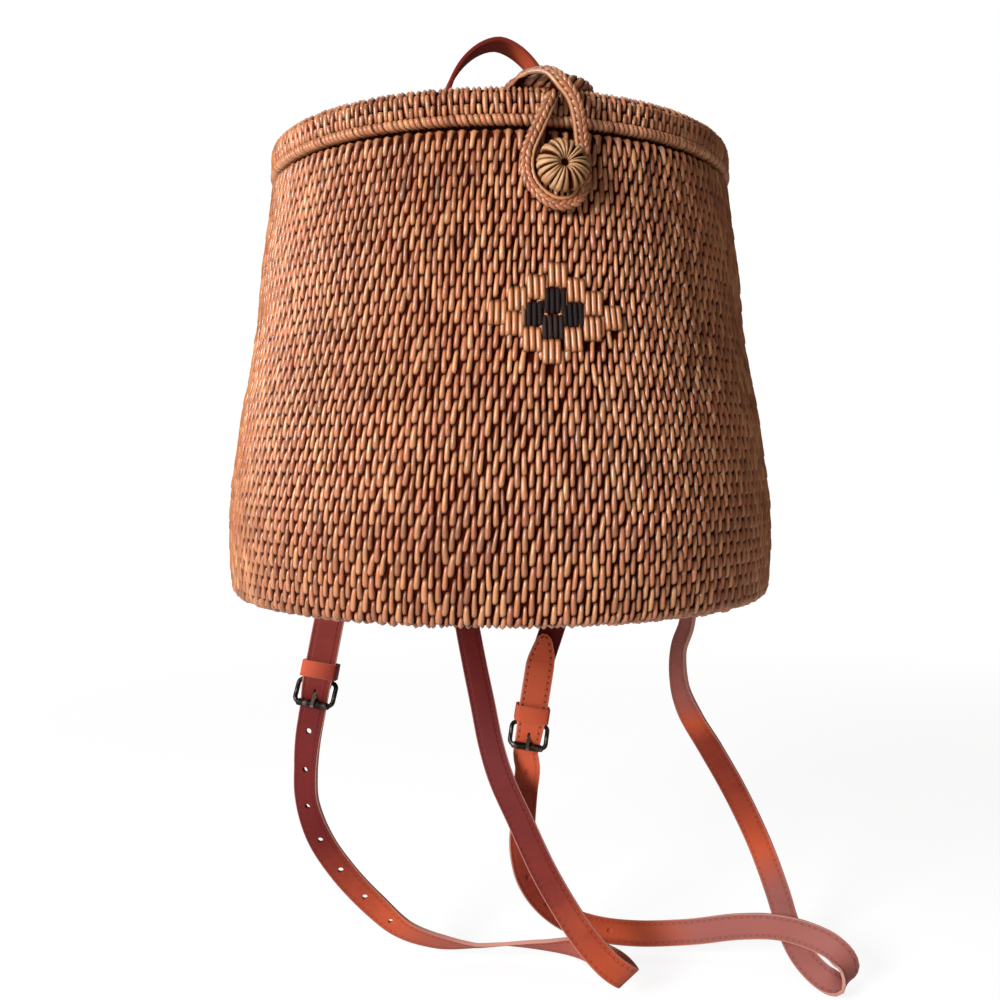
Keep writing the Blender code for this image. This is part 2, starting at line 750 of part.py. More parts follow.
def make_strap(side, buckle, route, anchor, free_end):
    stations = strap_stations(buckle, route, anchor, free_end)
    rings = sampled_route(stations, STRAP_STEP)
    name = f"shoulder_strap_{side}"
    strap = add_piece(name, strip(rings, STRAP_WIDTH, LEATHER_THICKNESS, tip_share), "leather")
    depth = LEATHER_THICKNESS * 3
    for index in range(HOLE_COUNT):
        distance = free_end + FRAME_BAR_SPACING / 2 + HOLE_PITCH * (index + 1)
        place, _, outward, _ = ring_at(rings, distance)
        cut(strap, drill(f"{name}_hole_{index}", place, outward, HOLE_RADIUS, depth, 8))
    print(name, "length", round(rings[-1][3], 4))
    return strap


def local_box(name, frame, low, high):
    """A box cutter given by two corners in a buckle's frame."""
    bpy.ops.mesh.primitive_cube_add(size=1)
    box = bpy.context.active_object
    box.name = name
    middle = (Vector(low) + Vector(high)) / 2
    size = Vector(high) - Vector(low)
    box.matrix_world = frame @ Matrix.Translation(middle) @ Matrix.Diagonal((*size, 1.0))
    return box


def cut_prong_slot(strap, side, frame):
    half = PRONG_WIDTH / 2 + PRONG_SLOT_CLEARANCE
    reach = fold_outer_radius() * 3
    slot = local_box(
        f"{strap.name}_prong_slot", frame, (-half, PRONG_SLOT_TOP, 0.0), (half, PRONG_SLOT_END, reach)
    )
    cut(strap, slot)


def make_tab(side, buckle, route, anchor):
    """Doubled leather riveted to the wall and folded round the heel bar."""
    frame = buckle_frame(buckle)
    across = way_across(frame)
    stations = list(anchor) + list(route)
    straight = (-TAB_STRAIGHT, -TAB_STRAIGHT * 0.87, -TAB_MERGE * 2, -TAB_MERGE)
    stations += [(frame @ Vector((0, down, 0)), across) for down in straight]
    rings = sampled_route(stations, STRAP_STEP)
    tab = add_piece(f"strap_tab_{side}", strip(rings, STRAP_WIDTH, tab_half_thickness() * 2), "leather")
    fold = make_fold(f"strap_tab_{side}_fold", frame)
    cut(tab, fold, "UNION")
    half = PRONG_WIDTH / 2 + PRONG_SLOT_CLEARANCE
    reach = fold_outer_radius() * 2
    slot = local_box(
        f"{tab.name}_prong_slot",
        frame,
        (-half, -TAB_SLOT_HALF_LENGTH, -reach),
        (half, reach, reach),
    )
    cut(tab, slot)
    return tab


def make_fold(name, frame):
    """The bend of the tab round the heel bar, drawn from the side and extruded across."""
    outer = fold_outer_radius()
    inner = BAR_RADIUS + TOUCH_GAP
    flat = tab_half_thickness() - TOUCH_GAP / 4
    overlap = TAB_MERGE + STRAP_STEP / 4
    outline = [(-overlap, flat)]
    outline += [(-TAB_MERGE, flat)]
    outline += arc((0.0, 0.0), outer, math.radians(105.0), -math.radians(105.0), 12)
    outline += [(-TAB_MERGE, -flat), (-overlap, -flat)]
    hole = arc((0.0, 0.0), inner, 0.0, 2 * math.pi, 12)[:-1]
    fold = extruded(name, outline, STRAP_WIDTH - TOUCH_GAP, frame)
    bore = extruded(f"{name}_bore", hole, STRAP_WIDTH * 2, frame)
    cut(fold, bore)
    return fold


def extruded(name, outline, width, frame):
    """Extrude a (down, out) outline across the strap."""
    builder = bmesh.new()
    near = [builder.verts.new((-width / 2, down, out)) for down, out in outline]
    far = [builder.verts.new((width / 2, down, out)) for down, out in outline]
    count = len(outline)
    for index in range(count):
        onward = (index + 1) % count
        builder.faces.new((near[index], near[onward], far[onward], far[index]))
    builder.faces.new(near)
    builder.faces.new(far)
    piece = add_piece(name, builder, "leather")
    piece.matrix_world = frame
    return piece


# Buckle
def make_buckle_frame(side, frame):
    """A bent wire frame: straight heel bar, rounded corners, tilted outer bar."""
    half = FRAME_INNER_WIDTH / 2 + BAR_RADIUS
    corner = FRAME_CORNER_RADIUS
    heel_corner = corner * 0.6
    far = FRAME_BAR_SPACING
    outline = [(-half + heel_corner, 0.0), (0.0, 0.0)]
    outline += arc((half - heel_corner, heel_corner), heel_corner, -math.pi / 2, 0.0, 3)
    outline += arc((half - corner, far - corner), corner, 0.0, math.pi / 2, 3)
    outline += arc((-half + corner, far - corner), corner, math.pi / 2, math.pi, 3)
    outline += arc((-half + heel_corner, heel_corner), heel_corner, math.pi, 1.5 * math.pi, 3)[:-1]
    curve = bpy.data.curves.new(f"buckle_frame_{side}", "CURVE")
    curve.dimensions = "3D"
    curve.bevel_depth = BAR_RADIUS
    curve.bevel_resolution = 1
    spline = curve.splines.new("POLY")
    spline.points.add(len(outline) - 1)
    for point, (across, down) in zip(spline.points, outline):
        point.co = (across, down, 0.0, 1.0)
    spline.use_cyclic_u = True
    buckle = bpy.data.objects.new(f"buckle_frame_{side}", curve)
    bpy.context.scene.collection.objects.link(buckle)
    curve.materials.append(finish("antique_metal"))
    buckle.matrix_world = frame @ Matrix.Rotation(FRAME_TILT, 4, "X")
    return buckle


def prong_lift():
    """Angle at which the prong's underside clears the outer bar."""
    reach = BAR_RADIUS + TOUCH_GAP + PRONG_THICKNESS / 2
    return FRAME_TILT + math.asin(reach / FRAME_BAR_SPACING)


def make_prong(side, frame):
    """A flat prong with an eye that turns on the heel bar."""
    inner = BAR_RADIUS + PRONG_EYE_CLEARANCE
    outer = inner + PRONG_THICKNESS
    half = PRONG_THICKNESS / 2
    length = FRAME_BAR_SPACING + PRONG_OVERHANG
    start = math.asin(half / outer)
    outline = arc((0.0, 0.0), outer, start, 2 * math.pi - start, 14)
    outline += [(length, -half), (length + half, -half / 3), (length + half, half / 3), (length, half)]
    piece = extruded(f"buckle_prong_{side}", outline, PRONG_WIDTH, frame @ Matrix.Rotation(prong_lift(), 4, "X"))
    piece.data.materials.clear()
    piece.data.materials.append(finish("antique_metal"))
    hole = arc((0.0, 0.0), inner, 0.0, 2 * math.pi, 12)[:-1]
    bore = extruded(f"{piece.name}_eye", hole, PRONG_WIDTH * 3, frame)
    cut(piece, bore)
    return piece


def make_keeper(side, frame):
    """A closed leather band round the tab and the strap."""
    half = STRAP_WIDTH / 2 + KEEPER_SIDE_CLEARANCE
    low = -fold_outer_radius() - KEEPER_CLEARANCE
    high = fold_outer_radius() + LEATHER_GAP + LEATHER_THICKNESS + KEEPER_CLEARANCE
    builder = bmesh.new()
    loops = []
    start = -KEEPER_OFFSET - KEEPER_LENGTH
    for grow in (0.0, KEEPER_THICKNESS):
        corner = KEEPER_ROUNDING * 0.5 + grow * 0.6
        left, right = -half - grow, half + grow
        floor, roof = low - grow, high + grow
        outline = arc((right - corner, roof - corner), corner, 0.0, math.pi / 2, 2)
        outline += arc((left + corner, roof - corner), corner, math.pi / 2, math.pi, 2)
        outline += arc((left + corner, floor + corner), corner, math.pi, 1.5 * math.pi, 2)
        outline += arc((right - corner, floor + corner), corner, 1.5 * math.pi, 2 * math.pi, 2)
        for down in (start, start + KEEPER_LENGTH):
            loops.append([builder.verts.new((across, down, out)) for across, out in outline])
    inner_top, inner_end, outer_top, outer_end = loops
    count = len(inner_top)
    for first, second in (
        (inner_top, inner_end), (inner_end, outer_end), (outer_end, outer_top), (outer_top, inner_top)
    ):
        for index in range(count):
            onward = (index + 1) % count
            builder.faces.new((first[index], first[onward], second[onward], second[index]))
    keeper = add_piece(f"strap_keeper_{side}", builder, "leather")
    keeper.matrix_world = frame
    return keeper


# Rivets
def rivet_profile(grip):
    """Two caps on one shank, as (radius, height) with the grip between the caps."""
    cap, height, shank = RIVET_CAP_RADIUS, RIVET_CAP_HEIGHT, RIVET_SHANK_RADIUS
    half = grip / 2
    return [
        (cap * RIVET_CROWN_SHARE, -half - height), (cap, -half), (shank, -half),
        (shank, half), (cap, half), (cap * RIVET_CROWN_SHARE, half + height),
    ]


def make_rivet(name, outer_place, way, grip, pieces):
    """Set a rivet whose outer cap rests at a place, and drill what it holds."""
    place = outer_place - way * grip / 2
    matrix = Matrix.Translation(place) @ way.to_track_quat("Z", "Y").to_matrix().to_4x4()
    rivet = add_piece(name, turned_solid(rivet_profile(grip), RIVET_STEPS), "antique_metal")
    rivet.matrix_world = matrix
    for piece in pieces:
        cutter = drill(
            f"{name}_hole_{piece.name}", place, way, RIVET_SHANK_RADIUS + RIVET_HOLE_CLEARANCE, grip * 2
        )
        cut(piece, cutter)
    return rivet


def make_wall_rivets(prefix, anchor, lift, leather, wall, thickness):
    """Two rivets through a strip on the wall, counted from its top."""
    slack = TOUCH_GAP * 4
    grip = thickness + slack + TOUCH_GAP + WALL_THICKNESS
    top, low = Vector(anchor[0][0]), Vector(anchor[-1][0])
    run = low - top
    for index, share in enumerate((0.2, 0.2 + RIVET_PITCH / run.length)):
        place = top + run * share
        angle = math.atan2(place.x, place.y)
        seat, outward, _, _ = wall_frame(angle, place.z)
        outer = seat + outward * (thickness + slack)
        make_rivet(f"{prefix}_rivet_{index + 1}", outer, outward, grip, (leather, wall))


# Handle
def make_handle(lid):
    """A strip bent into an arch, its two feet flat on the lid."""
    half = LEATHER_THICKNESS / 2
    foot = [
        (HANDLE_FOOT_REACH, 0.0),
        (HANDLE_RIVET_REACH, 0.0),
        (HANDLE_FOOT_BEND, 0.0),
    ]
    places = [(reach, lid_surface(reach) + TOUCH_GAP + half) for reach, _ in foot]
    base = lid_surface(HANDLE_FOOT_BEND)
    places += [
        (HANDLE_FOOT_BEND * reach, base + HANDLE_HEIGHT * rise) for reach, rise in HANDLE_ARCH_SHARES
    ]
    right = [Vector((reach, HANDLE_SETBACK, height)) for reach, height in places]
    left = [Vector((-point.x, point.y, point.z)) for point in reversed(right)]
    top = Vector((0.0, HANDLE_SETBACK, base + HANDLE_HEIGHT))
    across = Vector((0, 1, 0))
    stations = [(point, across) for point in right + [top] + left]
    rings = sampled_route(stations, STRAP_STEP / 2)
    handle = add_piece("lid_handle", strip(rings, HANDLE_WIDTH, LEATHER_THICKNESS), "leather")
    grip = LEATHER_THICKNESS + LID_THICKNESS + TOUCH_GAP * 3
    for side, sign in (("left", -1), ("right", 1)):
        reach = HANDLE_RIVET_REACH
        height = lid_surface(reach) + LEATHER_THICKNESS + TOUCH_GAP * 2
        outer = Vector((sign * reach, HANDLE_SETBACK, height))
        slope = 2 * LID_DOME_RISE * reach / (RIM_RADIUS * RIM_RADIUS)
        way = Vector((sign * slope, 0, 1)).normalized()
        make_rivet(f"handle_rivet_{side}", outer, way, grip, (handle, lid))
    return handle


# Closure
def button_height():
    return BODY_HEIGHT - BUTTON_DROP


def rosette_centre():
    reach = RIM_RADIUS - ROSETTE_SETBACK
    return Vector((0.0, -reach, lid_surface(reach) + TOUCH_GAP + ROSETTE_CANE_RADIUS))


def make_rosette():
    """The braided ring that the loop springs from."""
    tilt = (ROSETTE_TILT, 0, 0)
    return make_ring(
        "loop_rosette", rosette_centre(), ROSETTE_RADIUS, ROSETTE_CANE_RADIUS, "cane_rim", tilt
    )


def loop_axis():
    """The loop swings about the place where it leaves the lid."""
    return Vector((0.0, -RIM_RADIUS - LID_RIM_OVERHANG - LOOP_THICKNESS, lid_top_height()))


def make_loop():
    """A braided band in the front plane, its outer edge away from the button."""
    points = [rosette_centre() + Vector(share) * ROSETTE_RADIUS for share in LOOP_OVER_SHARES]
    drop = lid_top_height() - button_height()
    for side_share, drop_share, lift_share in LOOP_HANG_SHARES:
        side = side_share * BUTTON_RADIUS
        height = lid_top_height() - drop * drop_share
        wall = max(wall_radius(height), RIM_RADIUS + LID_RIM_OVERHANG)
        reach = wall + TOUCH_GAP * 2 + LOOP_THICKNESS / 2 + LOOP_THICKNESS * lift_share
        points.append(Vector((side, -math.sqrt(reach * reach - side * side), height)))
    stations = []
    for index, point in enumerate(points):
        before = points[max(index - 1, 0)]
        after = points[min(index + 1, len(points) - 1)]
        along = (after - before).normalized()
        out = Vector((point.x, point.y, 0)).normalized()
        if index < len(LOOP_OVER_SHARES):
            out = (out + Vector((0, 0, len(LOOP_OVER_SHARES) - index))).normalized()
        stations.append((point - loop_axis(), along.cross(out)))
    rings = sampled_route(stations, LOOP_STEP)
    piece = strip(rings, LOOP_WIDTH, LOOP_THICKNESS)
    return add_piece("closure_loop", piece, "cane_rim", loop_axis())


def make_button(wall):
    """A wound dome on a cord that is knotted inside the wall."""
    seat, outward, _, _ = wall_frame(math.pi, button_height())
    back = seat + outward * BUTTON_STANDOFF
    frame = Matrix.Translation(back) @ outward.to_track_quat("Z", "Y").to_matrix().to_4x4()
    radius, thickness, eye = BUTTON_RADIUS, BUTTON_THICKNESS, BUTTON_EYE_RADIUS
    socket = CORD_RADIUS + CORD_CLEARANCE
    edge = BUTTON_EDGE
    profile = [(socket, 0.0), (radius - edge, 0.0)]
    profile += arc((radius - edge, edge), edge, -math.pi / 4, math.pi / 4, 3)
    profile += [
        (radius * 0.68, thickness * 0.86), (radius * 0.4, thickness), (eye * 1.5, thickness * 0.97),
        (eye, thickness * 0.8), (eye, thickness * 0.6), (socket, thickness * 0.55),
    ]
    button = add_piece("closure_button", turned(profile, 20), "straw")
    button.matrix_world = frame
    inside = BUTTON_STANDOFF + WALL_THICKNESS + TOUCH_GAP
    knot = CORD_KNOT_RADIUS
    profile = [
        (CORD_RADIUS, thickness * 0.5), (CORD_RADIUS, -inside),
        (knot, -inside), (knot, -inside - knot * 0.7), (knot * 0.5, -inside - knot),
    ]
    cord = add_piece("button_cord", turned_solid(profile, 12), "cane_inner")
    cord.matrix_world = frame
    depth = WALL_THICKNESS * 3
    cut(wall, drill("button_cord_hole", seat, outward, CORD_RADIUS + CORD_CLEARANCE, depth, 16))


def make_side(side, sign, buckle, tab_shares, strap_shares, back_shares, tilt, free_end, wall):
    frame = buckle_frame(buckle)
    tab_route = hung_route(tab_shares)
    strap_route = hung_route(strap_shares) + back_route(back_shares, sign)
    single = TOUCH_GAP + LEATHER_THICKNESS / 2
    double = TOUCH_GAP + tab_half_thickness()
    anchor = wall_stations(
        sign * STRAP_ANCHOR_ANGLE, strap_anchor_height(), STRAP_ANCHOR_LENGTH, tilt, single
    )
    strap = make_strap(side, buckle, strap_route, anchor, free_end)
    cut_prong_slot(strap, side, frame)
    make_wall_rivets(f"strap_{side}", anchor, single, strap, wall, LEATHER_THICKNESS)
    tab_anchor = wall_stations(sign * TAB_ANGLE, TAB_TOP_HEIGHT, TAB_ANCHOR_LENGTH, -TAB_TILT, double)
    tab = make_tab(side, buckle, tab_route, tab_anchor)
    make_wall_rivets(f"tab_{side}", tab_anchor, double, tab, wall, tab_half_thickness() * 2)
    make_buckle_frame(side, frame)
    make_prong(side, frame)
    make_keeper(side, frame)


def main():
    clear_scene()
    make_base()
    wall = make_wall()
    body_rim = make_body_rim()
    make_collar()
    lid_rim = make_lid_rim()
    lid = make_lid()
    make_hinges(body_rim, lid_rim)
    make_handle(lid)
    make_rosette()
    make_loop()
    make_button(wall)
    make_side(
        "left", -1, BUCKLE_LEFT_SHARES, TAB_LEFT_ROUTE_SHARES, STRAP_LEFT_ROUTE_SHARES,
        STRAP_LEFT_BACK_SHARES, STRAP_LEFT_TILT, FREE_END_LEFT, wall,
    )
    make_side(
        "right", 1, BUCKLE_RIGHT_SHARES, TAB_RIGHT_ROUTE_SHARES, STRAP_RIGHT_ROUTE_SHARES,
        STRAP_RIGHT_BACK_SHARES, STRAP_RIGHT_TILT, FREE_END_RIGHT, wall,
    )


main()
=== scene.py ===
"""Looks of the pack basket: woven cane, wound straw, stitched leather, dark metal and light.

Units are metres, +Z is up and the front faces -Y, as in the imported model.
"""
import json
import math

import bpy
import numpy as np
from mathutils import Matrix, Vector


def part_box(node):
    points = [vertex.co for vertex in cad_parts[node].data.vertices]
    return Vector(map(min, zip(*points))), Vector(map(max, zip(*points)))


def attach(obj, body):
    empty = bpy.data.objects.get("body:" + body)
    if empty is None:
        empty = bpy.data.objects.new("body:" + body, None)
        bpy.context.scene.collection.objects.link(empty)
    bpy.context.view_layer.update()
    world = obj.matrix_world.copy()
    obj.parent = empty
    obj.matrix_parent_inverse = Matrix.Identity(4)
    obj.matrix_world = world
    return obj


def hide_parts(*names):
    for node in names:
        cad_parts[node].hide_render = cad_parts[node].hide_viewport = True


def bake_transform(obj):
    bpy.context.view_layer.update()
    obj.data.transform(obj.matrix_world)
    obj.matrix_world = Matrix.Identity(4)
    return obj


bl_info = {
    "name": "Pack Basket",
    "version": (1, 0, 0),
    "blender": (4, 5, 0),
    "location": "View3D > Sidebar > Basket",
    "description": "Weaves a cane pack basket with leather straps over its packed model",
    "category": "Object",
}

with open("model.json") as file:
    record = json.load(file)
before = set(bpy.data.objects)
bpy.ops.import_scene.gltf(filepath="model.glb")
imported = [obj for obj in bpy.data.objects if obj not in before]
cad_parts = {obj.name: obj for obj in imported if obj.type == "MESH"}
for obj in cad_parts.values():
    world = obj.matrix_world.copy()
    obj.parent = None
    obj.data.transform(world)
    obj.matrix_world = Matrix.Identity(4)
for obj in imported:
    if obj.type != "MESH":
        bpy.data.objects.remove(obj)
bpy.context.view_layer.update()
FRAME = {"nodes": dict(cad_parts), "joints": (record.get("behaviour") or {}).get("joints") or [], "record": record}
JOINTS = {joint["name"]: joint for joint in FRAME["joints"]}

SIDES = ("left", "right")

# Outline of the woven body
BASE_RADIUS = 0.140
RIM_RADIUS = 0.1165
BODY_HEIGHT = 0.206
WALL_THICKNESS = 0.0055
BASE_THICKNESS = 0.0065
BASE_EDGE_ROUNDING = 0.0055
TOP_ROUNDING = 0.0036
INNER_WALL_TOP = 0.203
INNER_WALL_FOOT = 0.012
SLOPE_REACH = 0.006
SHELL_STEPS = 120
FLARE_SHARES = (
    (0.0, 0.955), (0.03, 0.955), (0.08, 0.99), (0.15, 1.0), (0.22, 0.975), (0.32, 0.86),
    (0.43, 0.725), (0.54, 0.525), (0.65, 0.36), (0.78, 0.265), (0.90, 0.11), (1.0, 0.0),
)

# Outline of the lid
LID_RIM_LOW = 0.2063
RIM_WRAP_HEIGHT = 0.0047
RIM_WRAP_RADIUS = 0.1178
LID_RIM_DEPTH = 0.0066
LID_RADIUS = 0.1172
LID_TOP = 0.223
LID_THICKNESS = 0.0045
LID_EDGE_ROUNDING = 0.005
LID_DOME_RISE = 0.005
LID_MIDDLE_GAP = 0.004

# Stitches: how they overlap, how wide they are in their pitch and how much they vary
ROUND_COUNTS = (150, 128, 106, 88, 72, 58, 46, 36, 26, 18, 12, 8)
STITCH_OVERLAP = 2.02
WALL_STITCH_SHARE = 0.435
LID_STITCH_SHARE = 0.46
SINK_SHARE = 0.92
COIL_SINK_SHARE = 0.98
COIL_RIDGE = 0.0004
SIZE_SPREAD = 0.10
TURN_SPREAD = 0.035
TONE_SPREAD = (1.6, 1.6)
WALL_SLANT = (-0.00022, 0.00026)
LID_SLANT = (0.00012, 0.00026)

# Leather
LEATHER_THICKNESS = 0.0024
FREE_ENDS = {"left": 0.070, "right": 0.0605}
HOLE_RADIUS = 0.0018
HOLE_PITCH = 0.025
HOLE_COUNT = 7
DENT_LIFT = 1.7
DENT_SHARE = 0.9
LEATHER_STEP = 0.003
SEAM_INSET = 0.0024
STRAP_SLOT = ((0, 0.0040, 0.005), (0, 0.0122, 0.004))
TAB_SLOT = ((0, -0.0052, -0.0015), (0, -0.0052, 0.0015))
TAB_STEP = 0.0035
TAB_FLAT_STATIONS = (-0.036, -0.0313, -0.018, -0.009)
TAB_MERGE_SHARES = ((-0.0065, 1.05), (-0.0040, 1.55))
TAB_FOLD_REACH = math.radians(115)
TAB_FOLD_STEPS = 12
TIP_LENGTH = 0.021
TIP_SHARES = ((0.0, 0.16), (0.05, 0.34), (0.13, 0.50), (0.4, 0.74), (0.75, 0.94), (1.0, 1.0))
BILLET_SHARE = 1.14
BAR_RADIUS = 0.0014
FRAME_SWELL = 0.0002
BAR_SPACING = 0.015
FRAME_INNER_WIDTH = 0.021
FRAME_CORNER = 0.004
FRAME_TILT = math.radians(20.0)
FAR_BAR_SHARE = 1.45
BAR_SHARE = 0.92
PRONG_SLOT_HALF = 0.00115
KEEPER_LENGTH = 0.010
KEEPER_OFFSET = 0.0022
KEEPER_THICKNESS = 0.0015
KEEPER_SIDE_CLEARANCE = 0.0016
KEEPER_CLEARANCE = 0.0004
KEEPER_CORNER = 0.0019
LEATHER_GAP = 0.0004
FOLD_GAP = 0.0003
HANDLE_WIDTH = 0.016
HANDLE_HEIGHT = 0.0585
HANDLE_FOOT_REACH = 0.046
HANDLE_RIVET_REACH = 0.0395
HANDLE_FOOT_BEND = 0.033
HANDLE_GAP = 0.0003
HANDLE_SETBACK = 0.006
HANDLE_ARCH_SHARES = ((0.93, 0.09), (0.90, 0.30), (0.80, 0.58), (0.60, 0.79), (0.31, 0.94))
RIVET_CAP_HEIGHT = 0.0014
RIVET_CAP_RADIUS = 0.0040
RIVET_CAP_SHARES = ((0.0, 1.0), (0.55, 6 / 7), (0.9, 3 / 7), (1.0, 0.0))
RIVET_SHANK_RADIUS = 0.0014

# Closure and hinge rings
HINGE_RING_RADIUS = 0.005
HINGE_CANE_RADIUS = 0.00115
BUTTON_HEIGHT = 0.1886
BUTTON_RADIUS = 0.0112
BUTTON_THICKNESS = 0.0068
BUTTON_STANDOFF = 0.0050
BUTTON_SHIFT = -0.0018
BUTTON_STRAWS = 22
ROSETTE_PLACE = Vector((0.0, -0.096, 0.2288))
ROSETTE_RADIUS = 0.016
ROSETTE_CORE_RADIUS = 0.0025
ROSETTE_SINK = 0.0018
ROSETTE_TILT = math.radians(4.0)
ROSETTE_KNOBS = 22
ROSETTE_LEAN = 0.50
LOOP_WIDTH = 0.006
LOOP_CLEAR_RADIUS = 0.1182
LOOP_CLEARANCE = 0.0006
LOOP_STEP = 0.0012
LOOP_OVER_SHARES = (
    (-1.16, -0.84, -0.42), (-0.98, -1.09, -0.16), (-0.69, -1.34, -0.11), (-0.39, -1.56, -0.17),
)
LOOP_HANG_SHARES = (
    (-0.16, 0.06, 1.4), (0.25, 0.22, 1.33), (0.5, 0.42, 0.73), (0.66, 0.67, 0.2), (0.77, 0.94, 0.0),
    (0.73, 1.21, 0.0), (0.43, 1.39, 0.0), (-0.23, 1.46, 0.0), (-0.82, 1.38, 0.0), (-1.25, 1.21, 0.0),
    (-1.38, 1.01, 0.0), (-1.3, 0.81, 0.0), (-1.05, 0.61, 0.0), (-0.77, 0.41, 0.0), (-0.5, 0.22, 0.0),
    (-0.25, 0.04, 0.0),
)
LOOP_THICKNESS = 0.003
LOOP_TURN_PITCH = 0.0029
LOOP_TURN_LENGTH = 0.0043
LOOP_TURN_START = 0.0008
LOOP_STRANDS = ((0.40, 0.12, 0.0), (-0.16, 0.10, 0.5))

# Diamond of dyed strands on the front: degrees round from the front, height, and how dark
DYED_BLOCKS = (
    (-2.1, 0.1335, 2.0), (-6.6, 0.1277, 2.0), (1.2, 0.1279, 2.0), (-2.7, 0.1227, 1.8),
    (-1.5, 0.1440, 1.0), (-5.7, 0.1388, 1.0), (2.1, 0.1381, 1.0), (-9.3, 0.1340, 1.0),
    (5.5, 0.1330, 1.0), (-13.0, 0.1284, 1.0), (9.4, 0.1273, 1.0), (-9.8, 0.1239, 1.0),
    (4.9, 0.1225, 1.0), (-6.6, 0.1176, 1.0), (1.1, 0.1177, 1.0), (-3.1, 0.1124, 1.0),
)

BLACK_BLOCK_WIDTH = 0.0092
GOLDEN_BLOCK_WIDTH = 0.0080
DYED_STRAND_LENGTH = 0.0106
BLOCK_HALF_WIDTH = 0.0032
BLOCK_HALF_HEIGHT = 0.0038

# Single stitches that took the dark stain: degrees round from the front, and height
DARK_STITCHES = ((-33.0, 0.1806), (-25.0, 0.1816))
SPOT_HALF_TURN = math.radians(1.3)
SPOT_HALF_HEIGHT = 0.0030

